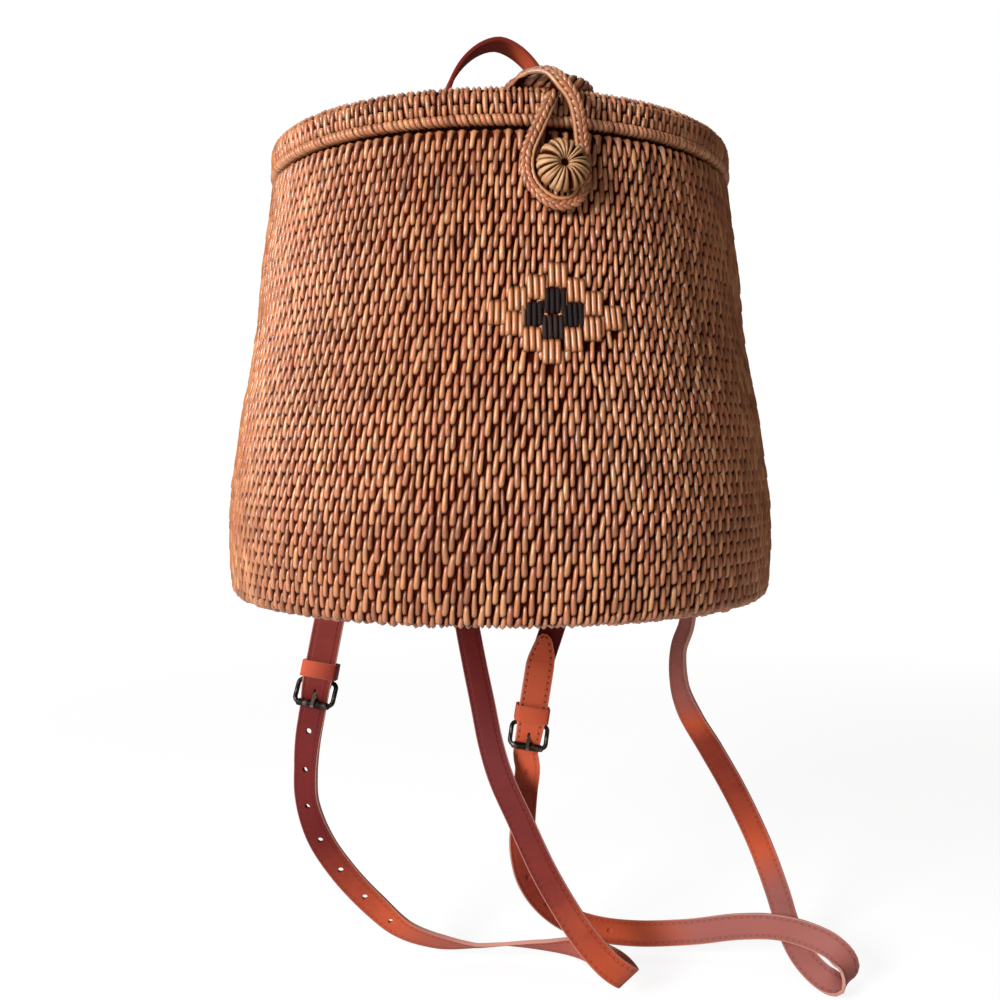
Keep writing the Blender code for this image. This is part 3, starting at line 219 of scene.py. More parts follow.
# Each strap from its pointed tip through the buckle and up to the wall: place and way across, x, y, z each
STRAP_ROUTES = {
    "left": (
        (-0.0781, 0.1211, -0.0049, 0.96, -0.24, -0.17), (-0.0814, 0.1184, -0.0198, 0.96, -0.24, -0.17),
        (-0.0846, 0.1157, -0.0342, 0.96, -0.24, -0.17), (-0.0868, 0.1147, -0.0447, 0.96, -0.24, -0.17),
        (-0.0898, 0.1132, -0.0592, 0.96, -0.24, -0.17), (-0.0908, 0.1127, -0.064, 0.96, -0.24, -0.17),
        (-0.092, 0.1111, -0.0687, 0.96, -0.24, -0.17), (-0.0929, 0.1101, -0.0726, 0.96, -0.24, -0.17),
        (-0.0937, 0.1102, -0.0768, 0.96, -0.24, -0.17), (-0.0943, 0.1112, -0.0818, 0.96, -0.24, -0.17),
        (-0.0949, 0.1124, -0.0869, 0.96, -0.24, -0.17), (-0.0959, 0.1124, -0.0924, 0.96, -0.24, -0.17),
        (-0.0988, 0.1131, -0.1101, 0.90, -0.44, 0.00), (-0.1001, 0.1144, -0.1283, 0.81, -0.59, 0.00),
        (-0.0995, 0.1173, -0.1497, 0.79, -0.58, 0.20), (-0.0916, 0.1207, -0.1761, 0.74, -0.30, 0.60),
        (-0.0763, 0.1224, -0.2014, 0.60, -0.20, 0.77), (-0.0567, 0.1232, -0.2249, 0.55, -0.22, 0.80),
        (-0.037, 0.125, -0.2442, 0.40, -0.50, 0.77), (-0.0118, 0.1254, -0.2556, 0.18, -0.66, 0.73),
        (0.0105, 0.1247, -0.26, -0.10, -0.86, 0.50), (0.0314, 0.12, -0.259, -0.15, -0.88, 0.45),
        (0.0557, 0.1085, -0.2569, -0.04, -0.75, 0.67), (0.0777, 0.0934, -0.2545, 0.30, -0.46, 0.83),
        (0.0925, 0.0741, -0.2561, 0.58, -0.13, 0.81), (0.0935, 0.0545, -0.255, 0.78, 0.00, 0.62),
        (0.0799, 0.0498, -0.2439, 0.80, 0.02, 0.60), (0.0659, 0.055, -0.2278, 0.77, -0.10, 0.62),
        (0.0547, 0.0657, -0.2104, 0.80, -0.18, 0.58), (0.044, 0.0763, -0.1901, 0.79, -0.18, 0.58),
        (0.0328, 0.089, -0.1632, 0.81, -0.18, 0.55), (0.0231, 0.1014, -0.1391, 0.86, -0.18, 0.47),
        (0.0188, 0.1126, -0.1201, 0.92, -0.21, 0.34), (0.016, 0.126, -0.0961, 0.95, -0.20, 0.24),
        (0.0125, 0.138, -0.07, 0.97, -0.18, 0.18), (0.008, 0.146, -0.038, 0.99, -0.12, 0.12),
        (0.0042, 0.1499, 0, 0.99, -0.06, 0.10), (0.0004, 0.151, 0.0401, 0.99, 0.00, 0.14),
        (-0.0066, 0.1478, 0.08, 0.98, 0.05, 0.18), (-0.0149, 0.14, 0.115, 0.97, 0.12, 0.20),
        (-0.0224, 0.13, 0.1431, 0.96, 0.20, 0.18), (-0.0293, 0.1223, 0.1608, 0.96, 0.21, 0.17),
        (-0.0302, 0.1191, 0.1695, 0.96, 0.22, 0.17), (-0.0316, 0.1171, 0.1799, 0.96, 0.23, 0.17),
        (-0.0331, 0.1153, 0.1902, 0.95, 0.25, 0.17),
    ),
    "right": (
        (0.0562, 0.1163, -0.0494, 0.96, -0.21, -0.16), (0.0541, 0.115, -0.0624, 0.96, -0.21, -0.16),
        (0.0521, 0.1133, -0.0698, 0.96, -0.21, -0.16), (0.0503, 0.113, -0.0804, 0.96, -0.21, -0.16),
        (0.0478, 0.1126, -0.095, 0.96, -0.21, -0.16), (0.0469, 0.1124, -0.0999, 0.96, -0.21, -0.16),
        (0.0458, 0.1111, -0.1047, 0.96, -0.21, -0.16), (0.045, 0.1105, -0.1087, 0.96, -0.21, -0.16),
        (0.0444, 0.1108, -0.1129, 0.96, -0.21, -0.16), (0.0439, 0.1123, -0.1178, 0.96, -0.21, -0.16),
        (0.0434, 0.1138, -0.1228, 0.96, -0.21, -0.16), (0.0426, 0.1142, -0.1284, 0.96, -0.21, -0.16),
        (0.0433, 0.1113, -0.137, 0.98, -0.22, 0.00), (0.042, 0.1126, -0.1523, 0.98, -0.20, 0.00),
        (0.0409, 0.114, -0.1721, 0.99, -0.14, 0.08), (0.0405, 0.1161, -0.1925, 0.98, -0.02, 0.18),
        (0.0454, 0.119, -0.2138, 0.90, 0.13, 0.41), (0.0566, 0.1205, -0.2318, 0.77, 0.20, 0.60),
        (0.0729, 0.1211, -0.246, 0.58, 0.33, 0.74), (0.0928, 0.1187, -0.254, 0.35, 0.44, 0.83),
        (0.1198, 0.1127, -0.2574, 0.20, 0.50, 0.84), (0.1539, 0.1011, -0.2545, 0.05, 0.42, 0.91),
        (0.1842, 0.0882, -0.2479, -0.01, 0.25, 0.97), (0.2043, 0.0741, -0.2438, 0.06, 0.05, 1.00),
        (0.2207, 0.0603, -0.2448, 0.26, 0.10, 0.96), (0.2312, 0.047, -0.2483, 0.52, 0.15, 0.84),
        (0.235, 0.0372, -0.256, 0.82, 0.32, 0.14), (0.2312, 0.0365, -0.2665, 0.64, 0.66, 0.12),
        (0.2238, 0.0455, -0.2662, 0.48, 0.28, 0.82), (0.219, 0.064, -0.2612, 0.70, -0.02, 0.70),
        (0.2198, 0.085, -0.2527, 0.88, -0.20, 0.35), (0.216, 0.096, -0.2299, 0.85, -0.48, 0.20),
        (0.2036, 0.0981, -0.1967, 0.83, -0.55, 0.10), (0.1854, 0.099, -0.1595, 0.85, -0.50, 0.16),
        (0.1672, 0.099, -0.1286, 0.81, -0.55, 0.20), (0.1512, 0.0976, -0.1032, 0.72, -0.68, 0.12),
        (0.1429, 0.0953, -0.0826, 0.35, -0.93, 0.05), (0.1406, 0.0918, -0.0583, 0.14, -0.99, 0.02),
        (0.1443, 0.0868, -0.0391, 0.12, -0.99, 0.00), (0.1454, 0.09, -0.0049, 0.22, -0.97, 0.00),
        (0.141, 0.098, 0.035, 0.52, -0.85, 0.04), (0.129, 0.1079, 0.075, 0.60, -0.79, 0.14),
        (0.1101, 0.1179, 0.1119, 0.70, -0.66, 0.28), (0.0859, 0.1262, 0.1419, 0.78, -0.48, 0.40),
        (0.0511, 0.1141, 0.1656, 0.73, -0.41, 0.55), (0.0452, 0.1137, 0.1728, 0.74, -0.38, 0.55),
        (0.0391, 0.1146, 0.1815, 0.76, -0.34, 0.55), (0.0331, 0.1153, 0.1902, 0.78, -0.30, 0.55),
    ),
}
# Each tab from its top on the wall down to its buckle, in the same way
TAB_ROUTES = {
    "left": (
        (-0.0872, 0.1116, 0.0483, 0.78, 0.62, -0.10), (-0.0885, 0.1115, 0.0377, 0.78, 0.62, -0.10),
        (-0.0895, 0.1109, 0.0271, 0.77, 0.62, -0.10), (-0.0912, 0.1114, 0.018, 0.77, 0.63, -0.10),
        (-0.09, 0.1289, -0.0021, 0.88, 0.47, 0.00), (-0.089, 0.1301, -0.0201, 0.99, 0.15, 0.00),
    ),
    "right": (
        (0.0872, 0.1116, 0.0483, 0.79, -0.60, -0.10), (0.0867, 0.1128, 0.0377, 0.79, -0.60, -0.10),
        (0.086, 0.1137, 0.0271, 0.79, -0.60, -0.10), (0.0861, 0.1154, 0.018, 0.79, -0.60, -0.10),
        (0.079, 0.1245, -0.005, 0.86, -0.50, 0.00), (0.07, 0.124, -0.029, 0.93, -0.36, -0.06),
        (0.061, 0.1215, -0.052, 0.96, -0.25, -0.14),
    ),
}
# Painted light and shade along each strap: 0 for the dark red of shaded runs, 1 for orange where lit and 2 for a
# pale brown painted sheen
STRAP_TONES = {
    "left": (
        (0.0, 0.12), (0.07, 0.12), (0.09, -0.05), (0.18, -0.05), (0.24, 0.5), (0.30, 1.3), (0.45, 1.45),
        (0.50, 0.6), (0.55, 0.12), (0.60, 0.06), (0.67, -0.08), (0.76, 0.10), (1.0, 0.10),
    ),
    "right": (
        (0.0, 1.0), (0.088, 1.0), (0.105, 0.35), (0.2, 0.3), (0.25, 0.8), (0.31, 1.6), (0.5, 1.8),
        (0.56, 0.6), (0.59, 0.30), (0.63, 0.35), (0.66, 1.5), (0.8, 1.9), (1.0, 1.7),
    ),
}
# How plainly the sewing shows along each strap
SEWN_SHARES = {
    "left": ((0.0, 0.12), (0.22, 0.12), (0.28, 0.35), (0.52, 0.35), (0.58, 0.2), (1.0, 0.15)),
    "right": (
        (0.0, 1.0), (0.08, 0.8), (0.09, 0.15), (0.22, 0.2), (0.28, 0.35), (0.56, 0.35), (0.62, 0.15),
        (1.0, 0.05),
    ),
}
# Tones on the same scale of painted light and shade: one for each whole tab, and for each keeper from one side
# across to the other, lighter on one side than the other
TAB_TONES = {"left": 0.06, "right": -0.1}
KEEPER_TONES = {"left": (0.10, 0.80), "right": (0.70, 0.95)}
# Painted light along the handle from its right foot: lit with some painted sheen on the right leg, shaded over the
# top and left leg
HANDLE_TONES = ((0.0, 1.3), (0.30, 1.25), (0.42, 0.9), (0.50, 0.35), (0.75, 0.3), (1.0, 0.25))
# Below zero, the handle's cut edges are darkened as painted shade
HANDLE_EDGE_SHADE = -0.7
REFINISHED = {
    "buckle_prong_left": "highlighted_metal", "buckle_prong_right": "highlighted_metal",
    "inner_collar": "plain_collar", "button_cord": "plain_collar",
}

# Lamps: name, place, aim, size, watts and colour
LAMPS = (
    ("key_lamp", (-1.31, -0.92, 0.60), (0, 0, 0.03), 0.55, 41.0, (1.0, 0.97, 1.0)),
    ("fill_lamp", (0.5, -1.5, 0.35), (0, 0, 0.0), 1.2, 0.8, (1.0, 0.87, 0.82)),
    ("top_lamp", (0.0, 0.3, 1.5), (0, 0, 0.0), 1.2, 7.0, (1.0, 1.0, 1.0)),
)
WHITE = (1.0, 1.0, 1.0)
SOFT_LIGHT_COLOUR = (1.0, 0.82, 0.75)
SOFT_LIGHT_STRENGTH = 0.10
FLOOR_DROP = 0.0034

# Camera that was fitted to the photograph
CAMERA_LENS_MM = 36.47
CAMERA_SENSOR_MM = 36.0
CAMERA_PLACE = (-0.1169, -0.5272, 0.0730)
CAMERA_DIP = 0.0505
CAMERA_TURN = math.radians(12.5)


class PackBasketSizes(bpy.types.PropertyGroup):
    """Sizes that a maker would change."""

    row_pitch: bpy.props.FloatProperty(
        name="Row Pitch", description="Height of one row of stitches",
        default=0.0052, min=0.003, max=0.01, precision=4, unit="LENGTH",
    )
    stitches_round: bpy.props.IntProperty(
        name="Stitches Round", description="Stitches in one row of the wall",
        default=150, min=60, max=220,
    )
    stitch_depth: bpy.props.FloatProperty(
        name="Stitch Depth", description="How far a stitch stands out of the coil",
        default=0.0018, min=0.0005, max=0.003, precision=4, unit="LENGTH",
    )
    rim_wraps: bpy.props.IntProperty(
        name="Rim Wraps", description="Wraps of cane round the lid's lower coil",
        default=292, min=80, max=320,
    )
    strap_width: bpy.props.FloatProperty(
        name="Strap Width", description="Width of the shoulder straps and tabs",
        default=0.0165, min=0.01, max=0.03, precision=4, unit="LENGTH",
    )
    sewing_pitch: bpy.props.FloatProperty(
        name="Sewing Pitch", description="Length of one stitch of the leather's edge seams",
        default=0.0042, min=0.002, max=0.008, precision=4, unit="LENGTH",
    )


def colour_property(name, description, default):
    return bpy.props.FloatVectorProperty(
        name=name, description=description, default=default, size=3, min=0.0, max=1.0, subtype="COLOR"
    )


class PackBasketColours(bpy.types.PropertyGroup):
    """Colours of the finishes."""

    cane_light: colour_property("Light Cane", "Palest stitches", (0.61, 0.292, 0.122))
    cane_dark: colour_property("Dark Cane", "Darkest stitches", (0.215, 0.064, 0.022))
    cane_red: colour_property("Red Cane", "Stitches that took more of the red stain", (0.44, 0.132, 0.054))
    # Dark stain of the coil, darkened further as painted shade of the gaps; the finishes also mix it in as painted
    # shade at stitch ends and edges, in grooves and in holes.
    gap_stain_and_shade: colour_property("Gap Stain and Shade", "Stained coil between the stitches, darkened as painted shade", (0.030, 0.0032, 0.0010))
    cane_stain: colour_property("Brown Stain", "Single stitches that took a brown stain", (0.20, 0.095, 0.050))
    cane_gold: colour_property("Golden Strands", "Paler strands of the diamond", (0.46, 0.175, 0.055))
    cane_black: colour_property("Black Strands", "Dark strands of the diamond", (0.011, 0.0085, 0.008))
    # Dark red of the collar, darkened as painted shade of the gap under the lid
    collar_stain_and_shade: colour_property("Collar Stain and Shade", "Dark red cane of the inner collar", (0.17, 0.022, 0.013))
    cane_inner: colour_property("Inner Cane", "Cane inside the basket", (0.30, 0.145, 0.070))
    straw: colour_property("Straw", "Wound straw of the button and loop", (0.51, 0.275, 0.105))
    leather_dark: colour_property("Dark Leather", "Deep red of the leather", (0.110, 0.0090, 0.0085))
    # The orange and the pale brown are painted light and painted sheen on the deep red leather.
    leather_lit: colour_property("Lit Leather", "Orange of the leather's lit runs", (0.55, 0.096, 0.036))
    leather_sheen: colour_property("Leather Sheen", "Pale brown painted sheen on the runs", (0.32, 0.110, 0.090))
    leather_edge: colour_property("Cut Leather", "Raw edge of the leather", (0.60, 0.34, 0.27))
    metal: colour_property("Antique Metal", "Darkened buckles and rivets", (0.022, 0.019, 0.017))
    metal_worn_and_highlight: colour_property("Worn Metal and Highlights", "Worn places on the metal, and painted highlights", (0.16, 0.14, 0.115))


# Shader maths
class Wire:
    """A socket that can be added, subtracted, multiplied and divided."""

    def __init__(self, nodes, socket):
        self.nodes = nodes
        self.socket = socket

    def worked(self, operation, *values):
        return self.nodes.node("ShaderNodeMath", {"operation": operation}, dict(enumerate(values)))

    def __add__(self, other):
        return self.worked("ADD", self, other)

    __radd__ = __add__

    def __sub__(self, other):
        return self.worked("SUBTRACT", self, other)

    def __rsub__(self, other):
        return self.worked("SUBTRACT", other, self)

    def __mul__(self, other):
        return self.worked("MULTIPLY", self, other)

    __rmul__ = __mul__

    def __truediv__(self, other):
        return self.worked("DIVIDE", self, other)

    def __pow__(self, other):
        return self.worked("POWER", self, other)

    def __abs__(self):
        return self.worked("ABSOLUTE", self)

    def part(self):
        return self.worked("FRACT", self)

    def whole(self):
        return self.worked("FLOOR", self)

    def most(self, other):
        return self.worked("MAXIMUM", self, other)

    def rise(self, low, high):
        """0 below low, 1 above high, and smooth between them."""
        values = {"Value": self, "From Min": low, "From Max": high}
        return self.nodes.node("ShaderNodeMapRange", {"interpolation_type": "SMOOTHSTEP"}, values)


class Nodes:
    """The nodes of a material or of the world."""

    def __init__(self, owner):
        owner.use_nodes = True
        self.tree = owner.node_tree

    def node(self, kind, settings=None, values=None, output=0):
        """Add a node, set what it does, then give its sockets values or links."""
        added = self.tree.nodes.new(kind)
        for key, value in (settings or {}).items():
            setattr(added, key, value)
        for key, value in (values or {}).items():
            self.connect(value, added.inputs[key])
        return Wire(self, added.outputs[output])

    def connect(self, value, socket):
        if isinstance(value, Wire):
            self.tree.links.new(value.socket, socket)
        elif socket.type == "RGBA":
            socket.default_value = (*value, 1.0)
        else:
            socket.default_value = value

    def shown_over(self, under, over, output, share=1.0):
        """Lay a shader over another one, for the rays that the camera sees by."""
        seen = self.node("ShaderNodeLightPath", output="Is Camera Ray")
        seen = seen.most(self.node("ShaderNodeLightPath", output="Is Transmission Ray"))
        values = {0: seen * share, 1: Wire(self, under.outputs[0]), 2: over}
        mixed = self.node("ShaderNodeMixShader", None, values)
        self.connect(mixed, self.tree.nodes[output].inputs["Surface"])


class Finish(Nodes):
    """A material and the nodes that are added to it."""

    def __init__(self, name):
        self.material = bpy.data.materials.new(name)
        super().__init__(self.material)
        self.shader = self.tree.nodes["Principled BSDF"]

    def mixed(self, first, second, share):
        """A colour between two colours."""
        return self.node("ShaderNodeMix", {"data_type": "RGBA"}, {0: share, 6: first, 7: second}, 2)

    def shaded(self, colour, share):
        """A colour multiplied by a number."""
        values = {0: 1.0, 6: colour, 7: self.grey(share)}
        return self.node("ShaderNodeMix", {"data_type": "RGBA", "blend_type": "MULTIPLY"}, values, 2)

    def grey(self, share):
        return self.node("ShaderNodeCombineColor", None, {0: share, 1: share, 2: share})

    def place(self):
        return self.node("ShaderNodeTexCoord", None, None, "Object")

    def split(self, vector):
        separate = self.tree.nodes.new("ShaderNodeSeparateXYZ")
        self.connect(vector, separate.inputs[0])
        return [Wire(self, socket) for socket in separate.outputs]

    def joined(self, x, y, z=0.0):
        return self.node("ShaderNodeCombineXYZ", None, {0: x, 1: y, 2: z})

    def noise(self, vector, scale, detail=3.0, roughness=0.5):
        values = {"Vector": vector, "Scale": scale, "Detail": detail, "Roughness": roughness}
        return self.node("ShaderNodeTexNoise", None, values)

    def attribute(self, name):
        return self.node("ShaderNodeAttribute", {"attribute_name": name}, None, "Fac")

    def uv(self):
        return self.split(self.node("ShaderNodeUVMap", {"uv_map": "lay"}))

    def bumped(self, height, distance, strength=1.0):
        values = {"Strength": strength, "Distance": distance, "Height": height}
        self.set(Normal=self.node("ShaderNodeBump", None, values))

    def set(self, **values):
        for key, value in values.items():
            self.connect(value, self.shader.inputs[key.replace("_", " ")])
        return self


def colours():
    return bpy.context.scene.pack_basket_colours


def sizes():
    return bpy.context.scene.pack_basket_sizes


def cane_finish(name, lighter=0.0, gloss=0.34):
    """Varnished cane: each stitch has its own tone and fibres along it, with painted shade at its ends and edges.
    """
    paint = Finish(name)
    chosen = colours()
    across, along, _ = paint.uv()
    tone = paint.attribute("tone")
    stain = paint.attribute("stain")
    place = paint.place()
    patch = paint.noise(place, 13.0, 2.0)
    fibre = paint.noise(paint.joined(across * 9.0 + tone * 41.0, along * 1.3, stain), 1.6, 3.0, 0.6)
    fleck = paint.noise(place, 420.0, 3.0, 0.65)
    share = (tone * 0.60 + patch * 0.55 + fibre * 0.35 - 0.28 + lighter).rise(0.0, 1.0)
    reddened = ((tone * 91.7).part() * 0.75 + patch * 0.9 - 0.30).rise(0.25, 0.85)
    colour = paint.mixed(chosen.cane_dark, chosen.cane_light, share)
    colour = paint.mixed(colour, chosen.cane_red, reddened * 0.55)
    colour = paint.mixed(colour, chosen.cane_stain, stain.rise(0.0, 1.0) * 0.92)
    black = stain.rise(1.2, 1.9)
    colour = paint.mixed(colour, chosen.cane_black, black)
    colour = paint.mixed(colour, chosen.cane_gold, (0.0 - stain).rise(0.0, 1.0) * 0.85)
    # Painted shade where each stitch dips under its neighbours: its ends and edges go towards the dark gap colour.
    ends = abs(along - 0.47).rise(0.34, 0.52)
    edges = abs(across - 0.5).rise(0.30, 0.52)
    colour = paint.mixed(colour, chosen.gap_stain_and_shade, (ends * 0.85).most(edges * 0.60))
    colour = paint.shaded(colour, 0.86 + fibre * 0.30 - fleck.rise(0.56, 0.78) * 0.16)
    paint.set(Base_Color=colour, Roughness=gloss + fibre * 0.14 + ends * 0.3 + black * 0.2)
    paint.set(Coat_Weight=(1.0 - black) * 0.35, Coat_Roughness=0.2)
    paint.bumped(fibre * 0.7 + fleck * 0.3, 0.00025, 0.7)
    return paint


def black_cane_finish(name):
    return cane_finish(name, 0.0, 0.5).set(Specular_IOR_Level=0.18)


def pale_cane_finish(name):
    return cane_finish(name, 0.04, 0.40)


def coil_finish(name):
    """The stained coil that shows between the stitches, darkened further as painted shade of the gaps."""
    paint = Finish(name)
    place = paint.place()
    grain = paint.noise(place, 300.0, 3.0)
    colour = paint.mixed(colours().gap_stain_and_shade, colours().cane_red, grain.rise(0.60, 0.95) * 0.12)
    paint.set(Base_Color=colour, Roughness=0.9, Specular_IOR_Level=0.02)
    paint.bumped(grain, 0.0004)
    return paint


def inner_cane_finish(name):
    """The back of the weave, drawn as two sets of stitches that pass each other."""
    paint = Finish(name)
    chosen = colours()
    around, rows, _ = paint.uv()
    place = paint.place()
    grain = paint.noise(place, 240.0, 4.0)

    def stitches(shift):
        column = (around + shift * 0.5).part()
        row = (rows * 0.5 + shift * 0.5).part()
        width = 1.0 - abs(column - 0.5).rise(0.10, 0.27)
        length = 1.0 - abs(row - 0.5).rise(0.32, 0.49)
        return width * length

    relief = stitches(0.0).most(stitches(1.0))
    cell = (around * 2.0).whole() * 7.31 + (rows * 0.5).whole() * 3.17
    tone = paint.node("ShaderNodeTexWhiteNoise", {"noise_dimensions": "1D"}, {"W": cell})
    colour = paint.mixed(chosen.cane_inner, chosen.cane_light, tone * 0.3 + grain * 0.2)
    # Painted shade in the gaps between the drawn stitches.
    colour = paint.mixed(chosen.gap_stain_and_shade, colour, relief.rise(0.05, 0.75))
    paint.set(Base_Color=colour, Roughness=0.58 + grain * 0.2)
    paint.bumped(relief * 0.85 + grain * 0.15, 0.0012)
    return paint


def straw_finish(name):
    """Polished straw with fine fibres along each strand."""
    paint = Finish(name)
    chosen = colours()
    across, along, _ = paint.uv()
    tone = paint.attribute("tone")
    place = paint.place()
    fibre = paint.noise(paint.joined(across * 11.0 + tone * 37.0, along * 1.6, 0.0), 1.8, 3.0, 0.6)
    patch = paint.noise(place, 120.0, 2.0)
    share = (tone * 0.5 + fibre * 0.5 + patch * 0.4 - 0.25).rise(0.0, 1.0)
    deep = tuple(value * factor for value, factor in zip(chosen.straw, (0.52, 0.40, 0.32)))
    pale = tuple(min(1.0, value * factor) for value, factor in zip(chosen.straw, (1.18, 1.30, 1.55)))
    colour = paint.mixed(deep, pale, share)
    # Painted shade at each strand's edges and ends, where the strands meet.
    edges = abs(across - 0.5).rise(0.27, 0.49)
    ends = abs(along - 0.5).rise(0.40, 0.50)
    colour = paint.mixed(colour, chosen.gap_stain_and_shade, (edges * 0.7).most(ends * 0.6))
    paint.set(Base_Color=colour, Roughness=0.34 + fibre * 0.18)
    paint.bumped(fibre, 0.0002, 0.6)
    return paint


def leather_finish(name):
    """Smooth strap leather: sewn edges, pores, creases and an unfinished cut edge, with painted light, shade and
    sheen set by its tone.
    """
    paint = Finish(name)
    chosen = colours()
    across, along, _ = paint.uv()
    tone = paint.attribute("tone")
    cut_edge = paint.attribute("edge")
    seam = paint.attribute("seam")
    sewn = paint.attribute("sewn")
    raw = paint.attribute("raw")
    place = paint.place()
    cloud = paint.noise(place, 55.0, 4.0, 0.6)
    pores = paint.noise(place, 1500.0, 2.0, 0.6)
    creases = paint.noise(paint.joined(across * 60.0, along * 240.0, 0.0), 1.0, 4.0, 0.65)
    groove = 1.0 - abs(seam).rise(0.0005, 0.0014)
    pitch = sizes().sewing_pitch
    step = ((along / pitch).part() - 0.5) * pitch
    hole = (1.0 - ((seam * seam + step * step) ** 0.5).rise(0.00040, 0.00085)) * sewn
    thread = (1.0 - abs(seam).rise(0.00020, 0.00060)) * abs(step).rise(0.0008, 0.0013) * sewn
    # The tone paints light and shade: dark red where shaded, orange where lit.
    share = (tone + cloud * 0.34 - 0.17 + creases * 0.14 - 0.07).rise(-0.12, 1.12)
    colour = paint.mixed(chosen.leather_dark, chosen.leather_lit, share)
    # Painted sheen: pale brown where the tone runs high.
    colour = paint.mixed(colour, chosen.leather_sheen, (tone + cloud * 0.3 - 0.15).rise(0.85, 1.75))
    colour = paint.shaded(colour, 0.94 + pores * 0.12 - groove * 0.10)
    colour = paint.mixed(colour, chosen.leather_edge, thread * 0.10)
    # Painted shade in the sewing holes.
    colour = paint.mixed(colour, chosen.gap_stain_and_shade, hole * 0.78)
    cut = cut_edge.rise(0.70, 0.98)
    colour = paint.mixed(colour, chosen.leather_edge, cut * raw)
    # Where the share is below zero, as on the handle, the cut edge is darkened as painted shade.
    colour = paint.mixed(colour, chosen.leather_dark, cut * (0.0 - raw))
    paint.set(Base_Color=colour, Roughness=0.46 + cloud * 0.16 + creases * 0.08, Specular_IOR_Level=0.14)
    paint.bumped(pores * 0.10 + creases * 0.32 - groove * 0.5 + thread * 0.6 - hole * 0.8, 0.0005, 0.8)
    return paint


def metal_finish(name, painted_highlight=0.0):
    """Antique metal with paler worn patches spread by noise."""
    paint = Finish(name)
    chosen = colours()
    place = paint.place()
    cloud = paint.noise(place, 260.0, 4.0, 0.6)
    pits = paint.noise(place, 1400.0, 3.0, 0.6)
    # The extra share is a painted highlight: it makes the prongs paler all over.
    colour = paint.mixed(chosen.metal, chosen.metal_worn_and_highlight, (cloud + painted_highlight).rise(0.42, 0.72))
    paint.set(Base_Color=colour, Metallic=1.0, Roughness=0.34 + cloud * 0.22)
    paint.bumped(pits * 0.6 + cloud * 0.4, 0.00015, 0.7)
    return paint


def highlighted_metal_finish(name):
    """The prongs, made paler than the frames by a painted highlight."""
    return metal_finish(name, 0.25).set(Roughness=0.5)


def collar_finish(name):
    """Plain cane in close upright turns, read from its place round the axis."""
    paint = Finish(name)
    x, y, z = paint.split(paint.place())
    around = paint.node("ShaderNodeMath", {"operation": "ARCTAN2"}, {0: x, 1: y}) * (190 / (2 * math.pi))
    turn = abs((around + z * 160.0).part() - 0.5)
    relief = 1.0 - turn.rise(0.22, 0.5)
    grain = paint.noise(paint.place(), 260.0, 4.0)
    # The collar's dark red is darkened as painted shade of the gap under the lid, and the grooves between its
    # turns take painted shade.
    colour = paint.mixed(colours().gap_stain_and_shade, colours().collar_stain_and_shade, relief * 0.75 + grain * 0.3)
    paint.set(Base_Color=colour, Roughness=0.7, Specular_IOR_Level=0.1)
    paint.bumped(relief + grain * 0.2, 0.0008)
    return paint


def floor_finish(name):
    """A pale floor that keeps the shadow and fades to white behind."""
    paint = Finish(name)
    x, y, _ = paint.split(paint.place())
    away = ((x * x + y * y) ** 0.5).rise(0.5, 2.4)
    paint.set(Base_Color=(0.94, 0.94, 0.94), Roughness=0.9)
    white = paint.node("ShaderNodeEmission", None, {"Color": WHITE, "Strength": 1.1})
    paint.shown_over(paint.shader, white, "Material Output", 0.80 + away * 0.20)
    return paint


FINISHES = {
    "varnished_cane": cane_finish, "black_cane": black_cane_finish, "pale_cane": pale_cane_finish,
    "coil_stain_and_shade": coil_finish, "inner_cane": inner_cane_finish, "plain_collar": collar_finish,
    "wound_straw": straw_finish, "strap_leather": leather_finish, "antique_metal_worn": metal_finish,
    "highlighted_metal": highlighted_metal_finish, "pale_floor": floor_finish,
}


def finished(name):
    """The material of that name, built when it is first asked for."""
    return bpy.data.materials.get(name) or FINISHES[name](name).material


# Working on meshes
def only(piece):
    """Select one piece and make it active."""
    bpy.ops.object.select_all(action="DESELECT")
    piece.select_set(True)
    bpy.context.view_layer.objects.active = piece


def opened(piece):
    """Edit a piece, with all of it selected."""
    only(piece)
    bpy.ops.object.mode_set(mode="EDIT")
    bpy.ops.mesh.select_all(action="SELECT")


def closed():
    bpy.ops.object.mode_set(mode="OBJECT")


def fresh(name, operator, **settings):
    """Add a piece by one of Blender's own operators."""
    bpy.ops.object.select_all(action="DESELECT")
    operator(**settings)
    piece = bpy.context.active_object
    piece.name = name
    return piece


def meshed(name, points, edges, faces):
    """Link a new mesh made from its points, edges and faces."""
    mesh = bpy.data.meshes.new(name)
    mesh.from_pydata(points, edges, faces)
    piece = bpy.data.objects.new(name, mesh)
    bpy.context.scene.collection.objects.link(piece)
    return piece


def smoothed(piece, degrees):
    """Shade a piece smooth, but for edges sharper than an angle."""
    only(piece)
    bpy.ops.object.shade_smooth_by_angle(angle=math.radians(degrees))


def dropped(piece):
    mesh = piece.data
    bpy.data.objects.remove(piece)
    bpy.data.meshes.remove(mesh)


